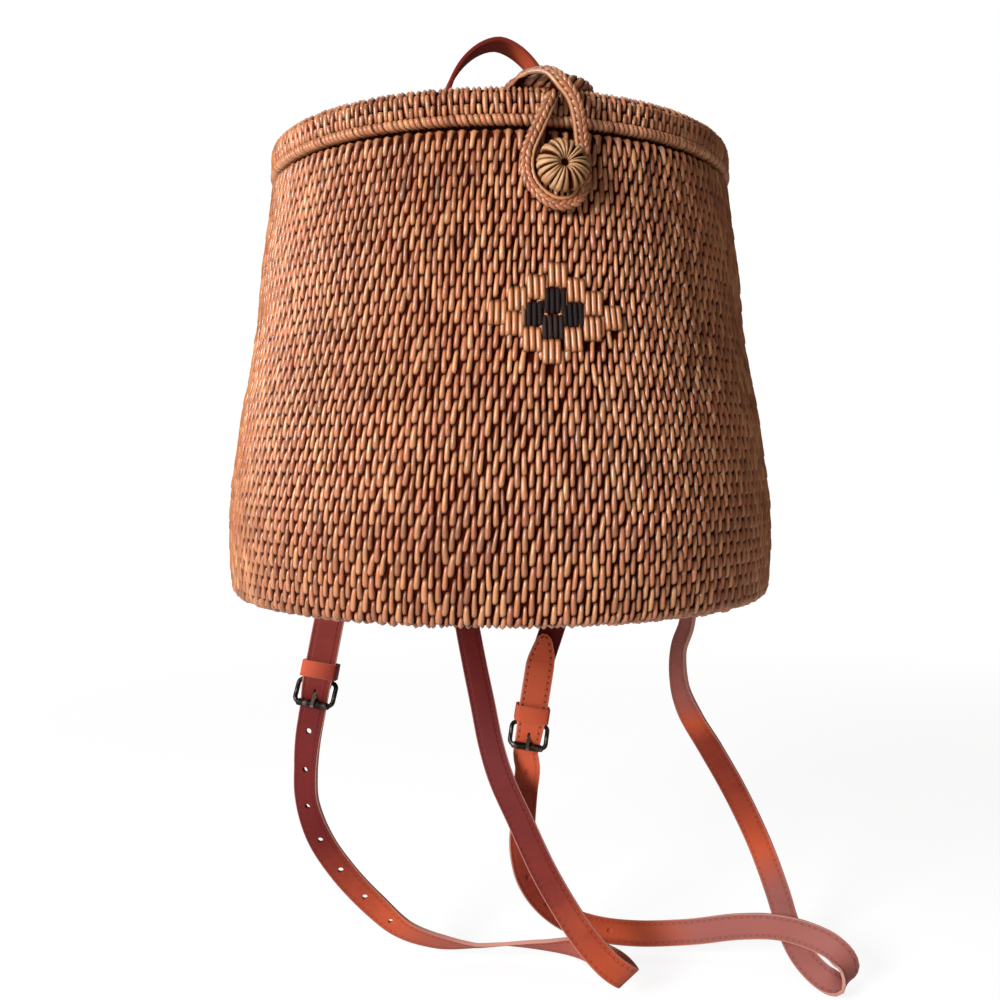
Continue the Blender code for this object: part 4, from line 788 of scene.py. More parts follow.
def drawn_form(name, sections):
    """A closed six-sided form drawn up from a disc through (height, width, depth, shift) sections."""
    height, width, depth, shift = sections[0]
    circle = bpy.ops.mesh.primitive_circle_add
    piece = fresh(name, circle, vertices=6, radius=0.5, fill_type="NGON", location=(0, 0, height))
    bpy.ops.object.transform_apply(location=True)
    opened(piece)
    bpy.ops.transform.resize(value=(width, depth, 1.0), center_override=(0, 0, height))
    bpy.ops.transform.translate(value=(shift, 0, 0))
    for before, section in zip(sections, sections[1:]):
        rise = (section[3] - before[3], 0, section[0] - before[0])
        bpy.ops.mesh.extrude_region_move(TRANSFORM_OT_translate={"value": rise})
        grow = (section[1] / before[1], section[2] / before[2], 1.0)
        bpy.ops.transform.resize(value=grow, center_override=(section[3], 0, section[0]))
    bpy.ops.mesh.select_all(action="SELECT")
    bpy.ops.mesh.normals_make_consistent(inside=False)
    closed()
    return piece


def points_of(piece):
    places = np.zeros(len(piece.data.vertices) * 3)
    piece.data.vertices.foreach_get("co", places)
    return places.reshape(-1, 3)


def move_points(piece, places):
    piece.data.vertices.foreach_set("co", np.ascontiguousarray(places, dtype=np.float32).ravel())
    piece.data.update()


def mark(piece, **numbers):
    """Keep numbers for each point, or one for all, for the finish to read."""
    count = len(piece.data.vertices)
    for name, values in numbers.items():
        layer = piece.data.attributes.new(name, "FLOAT", "POINT")
        values = np.ascontiguousarray(np.broadcast_to(values, count), dtype=np.float32)
        layer.data.foreach_set("value", values)


def lay_uv(piece, places):
    """Give each corner the (across, along) of its point."""
    layer = piece.data.uv_layers.new(name="lay")
    corners = np.zeros(len(piece.data.loops), dtype=np.int32)
    piece.data.loops.foreach_get("vertex_index", corners)
    layer.data.foreach_set("uv", np.ascontiguousarray(places[corners], dtype=np.float32).ravel())


def copies_joined(name, form, places, marks):
    """Join copies of a form, one for each row of places, in one mesh."""
    faces = [list(polygon.vertices) for polygon in form.data.polygons]
    count, size = places.shape[:2]
    everything = [[corner + index * size for corner in face] for index in range(count) for face in faces]
    piece = meshed(name, places.reshape(-1, 3), [], everything)
    lay_uv(piece, np.tile(points_of(form)[:, (0, 2)] + 0.5, (count, 1)))
    mark(piece, **{key: np.repeat(values, size) for key, values in marks.items()})
    piece.data.shade_smooth()
    return piece


def dressed(piece, body, slot, finish_name, *nodes):
    """Give a finished piece its material and the body it rides on, and hide the nodes it stands for."""
    piece.data.materials.clear()
    piece.data.materials.append(finished(finish_name))
    if body == "loop":
        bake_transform(piece)
    else:
        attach(piece, body)
    if nodes:
        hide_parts(*nodes)
    return piece


def refinish_nodes():
    """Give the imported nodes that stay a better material."""
    for node, finish_name in REFINISHED.items():
        for place in FRAME["nodes"][node].material_slots:
            place.material = finished(finish_name)


# Weave
class Outline:
    """A (radius, height) line, read by the distance along it."""

    def __init__(self, points, step=0.0004, soften=5):
        path = np.array(points, dtype=float)
        lengths = np.concatenate([[0.0], np.cumsum(np.hypot(*np.diff(path, axis=0).T))])
        self.length = float(lengths[-1])
        self.distances = np.linspace(0.0, self.length, max(8, int(self.length / step)))
        radius = np.interp(self.distances, lengths, path[:, 0])
        height = np.interp(self.distances, lengths, path[:, 1])
        slope_r, slope_h = np.gradient(radius), np.gradient(height)
        window = np.ones(soften) / soften
        slope_r = np.convolve(np.pad(slope_r, soften // 2, mode="edge"), window, "valid")
        slope_h = np.convolve(np.pad(slope_h, soften // 2, mode="edge"), window, "valid")
        size = np.hypot(slope_r, slope_h)
        self.columns = (radius, height, slope_h / size, -slope_r / size)

    def at(self, distance):
        """Radius, height and the outward way at distances."""
        return [np.interp(distance, self.distances, column) for column in self.columns]


def wall_radius(height):
    places, values = zip(*FLARE_SHARES)
    flare = np.interp(height / BODY_HEIGHT, places, values)
    return float(RIM_RADIUS + (BASE_RADIUS - RIM_RADIUS) * flare)


def quarter(centre, radius, start, end, steps=8):
    turns = [start + (end - start) * step / steps for step in range(steps + 1)]
    return [(centre[0] + radius * math.cos(turn), centre[1] + radius * math.sin(turn)) for turn in turns]


def wall_slope(height):
    """How much the wall's radius grows with its height."""
    return (wall_radius(height + SLOPE_REACH) - wall_radius(height - SLOPE_REACH)) / (2 * SLOPE_REACH)


def body_outline():
    """From the middle of the underside, round the base's edge and up to the top of the wall."""
    corner = wall_radius(BASE_THICKNESS) - BASE_EDGE_ROUNDING
    points = [(0.002, 0.0)]
    points += quarter((corner, BASE_EDGE_ROUNDING), BASE_EDGE_ROUNDING, -math.pi / 2, 0.0)
    shoulder = BODY_HEIGHT - TOP_ROUNDING
    heights = np.linspace(BASE_THICKNESS, shoulder, 60)
    points += [(wall_radius(height), height) for height in heights]
    top = (wall_radius(shoulder) - TOP_ROUNDING, shoulder)
    points += quarter(top, TOP_ROUNDING, 0.0, math.radians(80.0))[1:]
    return Outline(points)


def lid_surface(reach):
    edge = LID_RADIUS - LID_EDGE_ROUNDING
    share = min(reach / edge, 1.0)
    return LID_TOP + LID_DOME_RISE * (1 - share * share)


def lid_outline():
    """From the top of the wrapped coil, over the lid's edge and in to its middle."""
    edge = LID_RADIUS - LID_EDGE_ROUNDING
    points = [(LID_RADIUS, LID_RIM_LOW + RIM_WRAP_HEIGHT - 0.001)]
    points += quarter((edge, LID_TOP - LID_EDGE_ROUNDING), LID_EDGE_ROUNDING, 0.0, math.pi / 2)
    points += [(reach, lid_surface(reach)) for reach in np.linspace(edge * 0.97, 0.002, 30)]
    return Outline(points)


def stitches_at(radius, most):
    """How many stitches go round at a radius, so that they stay about as wide."""
    pitch = 2 * math.pi * RIM_RADIUS / most
    if radius > RIM_RADIUS * 0.93:
        return most
    return min(ROUND_COUNTS, key=lambda count: abs(2 * math.pi * radius / count - pitch))


def stitch_form():
    """One stitch: a slender top that leans out between two others, and a rounded foot."""
    return drawn_form("stitch_form", (
        (-0.50, 0.46, 0.12, 0.08), (-0.45, 0.84, 0.66, 0.06), (-0.33, 1.10, 1.0, 0.03),
        (-0.08, 1.08, 1.0, 0.0), (0.18, 0.92, 0.92, -0.05), (0.38, 0.78, 0.66, -0.11),
        (0.50, 0.56, 0.12, -0.14),
    ))


def brow_form():
    """A stitch of the wall's top row, spread at its top where it comes over the edge."""
    return drawn_form("brow_form", (
        (-0.50, 0.46, 0.12, 0.06), (-0.45, 0.82, 0.66, 0.05), (-0.32, 1.04, 1.0, 0.02),
        (-0.05, 1.06, 1.0, 0.0), (0.20, 1.45, 0.92, 0.0), (0.38, 2.0, 0.80, 0.0), (0.50, 2.25, 0.40, 0.0),
    ))


def strand_block_form():
    """A dyed strand: as wide at its ends as in its middle, and cut off square."""
    return drawn_form("dyed_form", (
        (-0.50, 0.98, 0.30, 0.0), (-0.46, 1.06, 0.80, 0.0), (-0.30, 1.12, 1.0, 0.0),
        (0.30, 1.12, 1.0, 0.0), (0.46, 1.06, 0.80, 0.0), (0.50, 0.98, 0.30, 0.0),
    ))


def row_turns(index, count, rng):
    """Angles of a row's stitches: every second row is set over by half a stitch."""
    turns = (np.arange(count) + (index % 2) * 0.5) * 2 * math.pi / count
    return turns + rng.normal(0.0, TURN_SPREAD, count) * 2 * math.pi / count


def weave_rows(outline, low, high, rng):
    """The place, size and tone of each stitch in the wall's rows, clear of the dyed strands."""
    pitch = sizes().row_pitch
    depth = sizes().stitch_depth
    lots = []
    for index in range(1, math.ceil((high - low) / pitch)):
        middle = high - pitch * index
        radius, height = (float(column) for column in outline.at(middle)[:2])
        count = stitches_at(radius, sizes().stitches_round)
        turns = row_turns(index, count, rng)
        row_tone = rng.normal(0.0, 0.05)
        for turn in turns:
            if any(covered(block, turn, radius, height) for block in DYED_BLOCKS):
                continue
            lots.append((
                middle + rng.normal(0.0, pitch * 0.035),
                turn,
                pitch * STITCH_OVERLAP * (1.0 + rng.normal(0.0, 0.02)),
                2 * math.pi * radius / count * WALL_STITCH_SHARE * (1.0 + rng.normal(0.0, SIZE_SPREAD)),
                depth * 2 * (1.0 + rng.normal(0.0, SIZE_SPREAD)),
                depth * (SINK_SHARE + abs(rng.normal(0.0, SIZE_SPREAD))),
                rng.normal(*WALL_SLANT),
                float(np.clip(rng.beta(*TONE_SPREAD) + row_tone, 0.0, 1.0)),
                1.0 if any(near(spot, turn, height) for spot in DARK_STITCHES) else 0.0,
            ))
    return np.array(lots)


def turned_from(turn, degrees):
    """The angle from a direction, between minus and plus half a turn."""
    return (turn - math.radians(degrees) + math.pi) % (2 * math.pi) - math.pi


def covered(block, turn, radius, height):
    """Whether a stitch would lie under a block of dyed strands."""
    degrees, middle, _ = block
    beside = abs(turned_from(turn, degrees)) * radius
    return beside < BLOCK_HALF_WIDTH and abs(height - middle) < BLOCK_HALF_HEIGHT


def near(spot, turn, height):
    """Whether a stitch is the one at a marked spot."""
    degrees, middle = spot
    return abs(turned_from(turn, degrees)) < SPOT_HALF_TURN and abs(height - middle) < SPOT_HALF_HEIGHT


def lay_on(outline, form, lots):
    """Bend copies of a form onto a turned outline."""
    x, y, z = points_of(form).T
    distance, turn, length, width, depth, sink, slant = (lots[:, index, None] for index in range(7))
    radius, height, out_r, out_h = outline.at(distance + z * length)
    lift = y * depth - sink
    angle = turn - (x * width + z * 2 * slant) / np.maximum(radius, 0.001)
    reach = radius + out_r * lift
    return np.stack([reach * np.sin(angle), -reach * np.cos(angle), height + out_h * lift], axis=-1)


def woven(name, outline, form, lots):
    return copies_joined(name, form, lay_on(outline, form, lots), {"tone": lots[:, 7], "stain": lots[:, 8]})


def turned_shell(name, points, steps, columns):
    """Spin a closed (radius, height) outline into a shell, with its rows kept as UVs."""
    edges = [(index, (index + 1) % len(points)) for index in range(len(points))]
    shell = meshed(name, [(radius, 0.0, height) for radius, height in points], edges, [])
    opened(shell)
    bpy.ops.mesh.spin(steps=steps, angle=2 * math.pi, center=(0, 0, 0), axis=(0, 0, 1))
    bpy.ops.mesh.select_all(action="SELECT")
    bpy.ops.mesh.remove_doubles(threshold=0.00002)
    bpy.ops.mesh.normals_make_consistent(inside=False)
    closed()
    shell.data.shade_smooth()
    lay_round_uv(shell, columns)
    return shell


def lay_round_uv(shell, columns):
    """Stitch columns round the axis, and rows up the wall or in from its radius."""
    pitch = sizes().row_pitch
    places = points_of(shell)
    layer = shell.data.uv_layers.new(name="lay")
    values = np.zeros((len(shell.data.loops), 2), dtype=np.float32)
    reach = np.hypot(places[:, 0], places[:, 1])
    turns = np.arctan2(places[:, 0], -places[:, 1]) / (2 * math.pi)
    for polygon in shell.data.polygons:
        corners = np.array(polygon.vertices)
        around = turns[corners]
        if around.max() - around.min() > 0.5:
            around = np.where(around < 0, around + 1.0, around)
        flat = abs(polygon.normal.z) > 0.8
        count = stitches_at(float(reach[corners].mean()), columns) if flat else columns
        rows = (reach if flat else places[:, 2])[corners] / pitch
        for loop, turn, row in zip(polygon.loop_indices, around, rows):
            values[loop] = (turn * count, row)
    layer.data.foreach_set("uv", values.ravel())


def ribbed(outline, low, high):
    """Points of the coil under the stitches, one ridge to a row."""
    pitch = sizes().row_pitch
    distances = np.linspace(low, high, int((high - low) / pitch) * 4)
    radius, height, out_r, out_h = outline.at(distances)
    ridge = COIL_RIDGE * np.cos((high - distances) / pitch * 2 * math.pi)
    lift = ridge - sizes().stitch_depth * COIL_SINK_SHARE
    return list(zip(radius + out_r * lift, height + out_h * lift))


def lined_shell(name, points, is_inside, body, *nodes):
    """A shell of dark stained coil outside, darkened further as painted shade, and the back of the weave inside.
    """
    shell = turned_shell(name, points, SHELL_STEPS, sizes().stitches_round)
    dressed(shell, body, "cane", "coil_stain_and_shade", *nodes)
    shell.data.materials.append(finished("inner_cane"))
    for polygon in shell.data.polygons:
        centre = polygon.center
        polygon.material_index = int(is_inside(math.hypot(centre.x, centre.y), centre.z))


def in_cane(name, outline, form, lots):
    """Stitches of varnished cane on the basket."""
    dressed(woven(name, outline, form, lots), "basket", "cane", "varnished_cane")


def make_body():
    """The woven wall and base: a coiled shell and the stitches over it."""
    rng = np.random.default_rng(11)
    outline = body_outline()
    heights = np.linspace(INNER_WALL_TOP, INNER_WALL_FOOT, 50)
    points = [(0.0, 0.0012)] + ribbed(outline, 0.004, outline.length - 0.0006)
    points += [(RIM_RADIUS - 0.0056, 0.2048)]
    points += [(wall_radius(height) - WALL_THICKNESS, height) for height in heights]
    points += [(wall_radius(INNER_WALL_FOOT) - WALL_THICKNESS - 0.003, BASE_THICKNESS + 0.0006)]
    points += [(reach, BASE_THICKNESS) for reach in (0.09, 0.04, 0.0)]
    lined_shell(
        "coiled_body", points,
        lambda reach, height: reach < wall_radius(height) - WALL_THICKNESS * 0.8 and height > 0.005,
        "basket", "basket_wall", "basket_base", "basket_rim",
    )
    lots = weave_rows(outline, 0.006, outline.length - 0.0008, rng)
    brow = lots[:, 0] > outline.length - sizes().row_pitch * 1.5
    form = brow_form()
    in_cane("stitches_top", outline, form, lots[brow])
    dropped(form)
    form = stitch_form()
    lots = lots[~brow]
    lots = lots[np.argsort(-lots[:, 0])]
    names = ("stitches_upper", "stitches_middle", "stitches_lower", "stitches_under")
    for name, share in zip(names, np.array_split(lots, len(names))):
        in_cane(name, outline, form, share)
    dropped(form)
    make_dyed_strands(outline, rng)


def make_dyed_strands(outline, rng):
    """Blocks of flat strands that make the diamond on the front, four of them black."""
    form = strand_block_form()
    heights = np.array(outline.columns[1])
    wall = slice(len(heights) // 2, None)
    depth = sizes().stitch_depth
    lots = []
    for degrees, middle, stain in DYED_BLOCKS:
        distance = float(np.interp(middle, heights[wall], outline.distances[wall]))
        count, block = (4, BLACK_BLOCK_WIDTH) if stain > 1 else (3, GOLDEN_BLOCK_WIDTH)
        width = block / count
        slant = rng.normal(0.0, 0.0001)
        for index in range(count):
            offset = (index - (count - 1) / 2) * width
            shade = float(rng.random())
            place = (distance + rng.normal(0.0, 0.0002), math.radians(degrees) + offset / wall_radius(middle))
            size = (DYED_STRAND_LENGTH, width * 0.90, depth * 2.0, depth * 0.45, slant)
            if stain > 1:
                look = (shade, stain if rng.random() < 0.8 else 1.2)
            else:
                look = (0.25 + 0.5 * shade, -stain)
            lots.append(place + size + look)
    lots = np.array(lots)
    black = lots[:, 8] > 0.0
    in_cane("dyed_strands", outline, form, lots[~black])
    strands = woven("black_strands", outline, form, lots[black])
    dressed(strands, "basket", "cane", "black_cane")
    dropped(form)


def make_lid():
    """The lid's woven panel with its short side, and the wrapped coil below it."""
    rng = np.random.default_rng(23)
    outline = lid_outline()
    inner_radius = LID_RADIUS - LID_THICKNESS
    points = ribbed(outline, 0.0, outline.length - LID_MIDDLE_GAP)
    points += [(0.0, lid_surface(0.0) - 0.0012)]
    points += [(reach, lid_surface(reach) - LID_THICKNESS) for reach in np.linspace(0.0, 0.105, 24)]
    points += [
        (inner_radius - 0.002, LID_TOP - LID_THICKNESS), (inner_radius, LID_TOP - LID_EDGE_ROUNDING - 0.001),
        (inner_radius, LID_RIM_LOW + RIM_WRAP_HEIGHT - 0.001),
    ]
    inside = LID_THICKNESS * 0.8
    lined_shell(
        "coiled_lid", points,
        lambda reach, height: height < lid_surface(reach) - inside and reach < LID_RADIUS - inside,
        "lid", "lid_panel",
    )
    form = stitch_form()
    stitches = woven("stitches_lid", outline, form, flipped_rows(outline, rng))
    dressed(stitches, "lid", "cane", "varnished_cane")
    dropped(form)
    make_wrapped_rim(rng)


def flipped_rows(outline, rng):
    """Rows counted from the lid's lower edge inwards, so that the side's rows are whole."""
    pitch = sizes().row_pitch
    depth = sizes().stitch_depth
    lots = []
    for index in range(int((outline.length - LID_MIDDLE_GAP) / pitch) + 1):
        first = index == 0
        middle = pitch * (0.45 if first else index)
        radius = float(outline.at(middle)[0])
        count = stitches_at(radius, sizes().stitches_round)
        for turn in row_turns(index, count, rng):
            lots.append((
                middle + rng.normal(0.0, pitch * 0.03), turn, -pitch * (1.0 if first else STITCH_OVERLAP),
                2 * math.pi * radius / count * LID_STITCH_SHARE * (1.0 + rng.normal(0.0, SIZE_SPREAD)),
                depth * 2, depth * (SINK_SHARE + abs(rng.normal(0.0, SIZE_SPREAD))),
                rng.normal(*LID_SLANT), float(rng.beta(*TONE_SPREAD)), 0.0,
            ))
    return np.array(lots)


def make_wrapped_rim(rng):
    """The lid's lower coil, wrapped closely in paler cane."""
    low, high = LID_RIM_LOW, LID_RIM_LOW + RIM_WRAP_HEIGHT
    outer, inner = RIM_WRAP_RADIUS, RIM_WRAP_RADIUS - LID_RIM_DEPTH
    rounding = RIM_WRAP_HEIGHT / 2
    centre = (outer - rounding, (low + high) / 2)
    inset = 0.0009
    ring = quarter(centre, rounding - inset, -math.pi / 2, math.pi / 2)
    ring += [(inner + inset, high - inset), (inner + inset, low + inset)]
    core = turned_shell("rim_coil", ring, SHELL_STEPS, sizes().stitches_round)
    dressed(core, "lid", "cane_rim", "coil_stain_and_shade", "lid_rim")
    path = [(inner + 0.0004, low + 0.0002)]
    path += quarter(centre, rounding - 0.0001, -math.pi / 2, math.pi / 2, 10)
    path += [(inner + 0.0004, high - 0.0002)]
    outline = Outline(path, 0.0002, 3)
    form = drawn_form("wrap_form", (
        (-0.50, 1.0, 0.9, 0.0), (-0.34, 1.1, 1.0, 0.0), (-0.18, 1.1, 1.0, 0.0), (-0.04, 1.1, 1.0, 0.0),
        (0.10, 1.08, 1.0, 0.0), (0.22, 0.92, 1.0, 0.0), (0.36, 0.66, 0.95, 0.0), (0.50, 0.4, 0.9, 0.0),
    ))
    count = sizes().rim_wraps
    all_wraps = np.ones(count)
    turns = (np.arange(count) + rng.normal(0.0, 0.07, count)) * 2 * math.pi / count
    lots = np.column_stack((
        all_wraps * outline.length / 2, turns, all_wraps * outline.length * 0.98,
        all_wraps * 2 * math.pi * outer / count * 1.02, 0.0022 * (1.0 + rng.normal(0.0, 0.05, count)),
        all_wraps * 0.0010, all_wraps * 0.0016, rng.beta(2.4, 2.0, count), all_wraps * 0.0,
    ))
    wraps = woven("rim_wraps", outline, form, lots)
    dressed(wraps, "lid", "cane_rim", "pale_cane")
    dropped(form)


# Leather
def curve_point(points, times, index, time):
    """One point of a centripetal curve through the stations."""
    row = [points[index + offset] for offset in (-1, 0, 1, 2)]
    knots = [times[index + offset] for offset in (-1, 0, 1, 2)]
    for pairs in (((0, 1), (1, 2), (2, 3)), ((0, 2), (1, 3)), ((1, 2),)):
        row = [
            row[low].lerp(row[low + 1], (time - knots[begin]) / (knots[end] - knots[begin]))
            for low, (begin, end) in enumerate(pairs)
        ]
    return row[0]


def stations_of(route):
    """(place, way across) stations of a flat route."""
    return [(row[:3], row[3:]) for row in route]


def sampled_route(stations, step=0.0015):
    """(place, across, outward, distance) rings along a smooth curve through the stations."""
    places = [Vector(place) for place, _ in stations]
    across = [Vector(way).normalized() for _, way in stations]
    times = [0.0]
    for before, after in zip(places, places[1:]):
        times.append(times[-1] + math.sqrt((after - before).length))
    points = [places[0] * 2 - places[1]] + places + [places[-1] * 2 - places[-2]]
    times = [-times[1]] + times + [times[-1] * 2 - times[-2]]
    samples = []
    for index in range(1, len(points) - 2):
        count = max(1, math.ceil((points[index + 1] - points[index]).length / step))
        for part in range(count):
            share = part / count
            time = times[index] + (times[index + 1] - times[index]) * share
            place = curve_point(points, times, index, time)
            samples.append((place, across[index - 1].lerp(across[index], share)))
    samples.append((places[-1], across[-1]))
    return squared_up(samples)


def ways_along(places):
    """The direction of travel at each of a row of places."""
    ends = zip(places[:1] + places[:-1], places[1:] + places[-1:])
    return [(after - before).normalized() for before, after in ends]


def squared_up(samples):
    """Rings with their across ways square to the route, and the distance travelled."""
    places = [place for place, _ in samples]
    rings = []
    travelled = 0.0
    for (place, way), along, before in zip(samples, ways_along(places), places[:1] + places):
        across = (way - along * way.dot(along)).normalized()
        travelled += (place - before).length
        rings.append((place, across, along.cross(across), travelled))
    return rings


def read_rings(rings, distances):
    """Place, across and outward at distances along the rings."""
    known = np.array([ring[3] for ring in rings])
    columns = [np.array([tuple(ring[part]) for ring in rings]) for part in range(3)]
    return [
        np.stack([np.interp(distances, known, column[:, axis]) for axis in range(3)], axis=1)
        for column in columns
    ]


def distance_near(rings, place):
    """How far along the rings a place is."""
    return min(rings, key=lambda ring: (ring[0] - Vector(place)).length)[3]


def flat_strip(name, length, width, step, columns=4):
    """A flat strip with its length on Y."""
    rows = max(2, round(length / step))
    grid = bpy.ops.mesh.primitive_grid_add
    strip = fresh(name, grid, x_subdivisions=columns, y_subdivisions=rows, size=1.0)
    opened(strip)
    bpy.ops.transform.resize(value=(width, length, 1.0), center_override=(0, 0, 0))
    bpy.ops.transform.translate(value=(0, length / 2, 0))
    closed()
    return strip


def widen(strip, widths):
    """Give a flat strip its width shares along its length."""
    places = points_of(strip)
    places[:, 0] *= np.interp(places[:, 1], *zip(*widths))
    move_points(strip, places)


def applied(piece, kind, **settings):
    """Add a modifier with its settings and apply it."""
    only(piece)
    modifier = piece.modifiers.new(kind.title(), kind)
    for key, value in settings.items():
        setattr(modifier, key, value)
    bpy.ops.object.modifier_apply(modifier=modifier.name)


def punch(strip, places, radius, thickness, stretch=1.0):
    """Punch round or long holes, or dents, in a flat strip at (distance, height) places."""
    for distance, height in places:
        tool = fresh(
            "punch", bpy.ops.mesh.primitive_cylinder_add, vertices=20, radius=radius,
            depth=thickness * 3, location=(0, distance, height),
        )
        tool.scale = (1.0, stretch, 1.0)
        applied(strip, "BOOLEAN", object=tool, operation="DIFFERENCE", solver="EXACT")
        dropped(tool)


def bend_along(strip, rings):
    """Bend a flat strip, with its length on Y, along the rings."""
    places = points_of(strip)
    route, across, outward = read_rings(rings, places[:, 1])
    move_points(strip, route - across * places[:, :1] + outward * places[:, 2:])


def mark_leather(strip, width, tones, widths, sewn, raw):
    """Keep the flat strip's own places for its finish: tone, cut edge and seam lines."""
    places = points_of(strip)
    share = places[:, 1] / places[:, 1].max()
    half = width / 2 * np.interp(places[:, 1], *zip(*widths))
    reach = np.abs(places[:, 0])
    mark(
        strip, tone=np.interp(share, *zip(*tones)), sewn=np.interp(share, *zip(*sewn)), raw=raw,
        edge=np.clip((reach - half + 0.0009) / 0.0007, 0.0, 1.0), seam=half - SEAM_INSET - reach,
    )
    lay_uv(strip, places[:, :2])


def leather_strip(
    name, rings, width, thickness, tones, widths=((0.0, 1.0),), sewn=((0.0, 0.3),), raw=0.6,
    holes=(), dents=(), slot=None,
):
    """Cut, shape, punch, round and bend one strip of leather."""
    strip = flat_strip(name, rings[-1][3], width, LEATHER_STEP, 8)
    widen(strip, widths)
    applied(strip, "SOLIDIFY", thickness=thickness, offset=0.0)
    punch(strip, [(place, 0.0) for place in holes], HOLE_RADIUS, thickness)
    punch(strip, [(place, DENT_LIFT * thickness) for place in dents], HOLE_RADIUS * DENT_SHARE, thickness)
    if slot:
        low, high = sorted(slot)
        stretch = (high - low) / 2 / PRONG_SLOT_HALF
        punch(strip, [((low + high) / 2, 0.0)], PRONG_SLOT_HALF, thickness, stretch)
    applied(strip, "BEVEL", width=0.00055, segments=2, limit_method="ANGLE", angle_limit=math.radians(50))
    mark_leather(strip, width, tones, widths, sewn, raw)
    bend_along(strip, rings)
    smoothed(strip, 50)
    return strip


def in_leather(piece, body, node):
    dressed(piece, body, "leather", "strap_leather", node)


def buckle_frame(side):
    """X against the way across, Y down the strap and Z out of the buckle's face."""
    hinge = JOINTS[f"frame_{side}_turn"]
    slide = JOINTS[f"keeper_{side}_slide"]
    against = Vector(hinge["axis"]).normalized()
    down = -Vector(slide["axis"]).normalized()
    outward = down.cross(-against)
    matrix = Matrix((against, down, outward)).transposed().to_4x4()
    matrix.translation = Vector(hinge["pos_m"])
    return matrix


def make_strap(side):
    """A shoulder strap with its pointed tip, its holes and the prong's slot."""
    rings = sampled_route(stations_of(STRAP_ROUTES[side]))
    frame = buckle_frame(side)
    slot = [distance_near(rings, frame @ Vector(place)) for place in STRAP_SLOT]
    free = FREE_ENDS[side]
    holes = [free + BAR_SPACING / 2 + HOLE_PITCH * (index + 1) for index in range(HOLE_COUNT)]
    widths = [(TIP_LENGTH * share, narrow * BILLET_SHARE) for share, narrow in TIP_SHARES]
    widths += [(free - BAR_SPACING / 2, BILLET_SHARE), (free + BAR_SPACING, 1.0)]
    strap = leather_strip(
        f"strap_{side}", rings, sizes().strap_width, LEATHER_THICKNESS, STRAP_TONES[side], widths,
        SEWN_SHARES[side], slot=slot, **{"holes" if side == "left" else "dents": holes},
    )
    in_leather(strap, "basket", f"shoulder_strap_{side}")


def folded_rings(side):
    """Down the tab's inner layer, round the heel bar and back up its outer layer."""
    frame = buckle_frame(side)
    across = -frame.col[0].to_3d()
    stations = stations_of(TAB_ROUTES[side])
    stations += [(tuple(frame @ Vector((0, down, 0))), across) for down in TAB_FLAT_STATIONS]
    rings = sampled_route(stations, TAB_STEP)
    half = LEATHER_THICKNESS / 2 + 0.00005
    reach = BAR_RADIUS + FOLD_GAP + LEATHER_THICKNESS / 2
    samples = [(place - outward * half, way) for place, way, outward, _ in rings]
    samples += [(frame @ Vector((0, down, -half * lift)), across) for down, lift in TAB_MERGE_SHARES]
    for index in range(TAB_FOLD_STEPS + 1):
        turn = -TAB_FOLD_REACH + 2 * TAB_FOLD_REACH * index / TAB_FOLD_STEPS
        samples.append((frame @ Vector((0, reach * math.cos(turn), reach * math.sin(turn))), across))
    samples += [(frame @ Vector((0, down, half * lift)), across) for down, lift in reversed(TAB_MERGE_SHARES)]
    samples += [(place + outward * half, way) for place, way, outward, _ in reversed(rings)]
    return squared_up(samples)


def make_tab(side):
    """A doubled tab, folded round the heel bar and slotted for the prong."""
    rings = folded_rings(side)
    frame = buckle_frame(side)
    slot = [distance_near(rings, frame @ Vector(place)) for place in TAB_SLOT]
    tones = ((0.0, TAB_TONES[side]), (1.0, TAB_TONES[side]))
    thickness = LEATHER_THICKNESS - 0.0001
    tab = leather_strip(f"tab_{side}", rings, sizes().strap_width, thickness, tones, slot=slot)
    in_leather(tab, "basket", f"strap_tab_{side}")


def rounded_loop(name, width, low, high, corner, segments):
    """Edges round a rectangle with rounded corners, from low to high on Y."""
    loop = fresh(name, bpy.ops.mesh.primitive_plane_add, size=1.0)
    opened(loop)
    bpy.ops.transform.resize(value=(width, high - low, 1.0), center_override=(0, 0, 0))
    bpy.ops.transform.translate(value=(0, (high + low) / 2, 0))
    bpy.ops.mesh.delete(type="ONLY_FACE")
    bpy.ops.mesh.select_all(action="SELECT")
    bpy.ops.mesh.bevel(offset=corner, segments=segments, affect="VERTICES")
    return loop


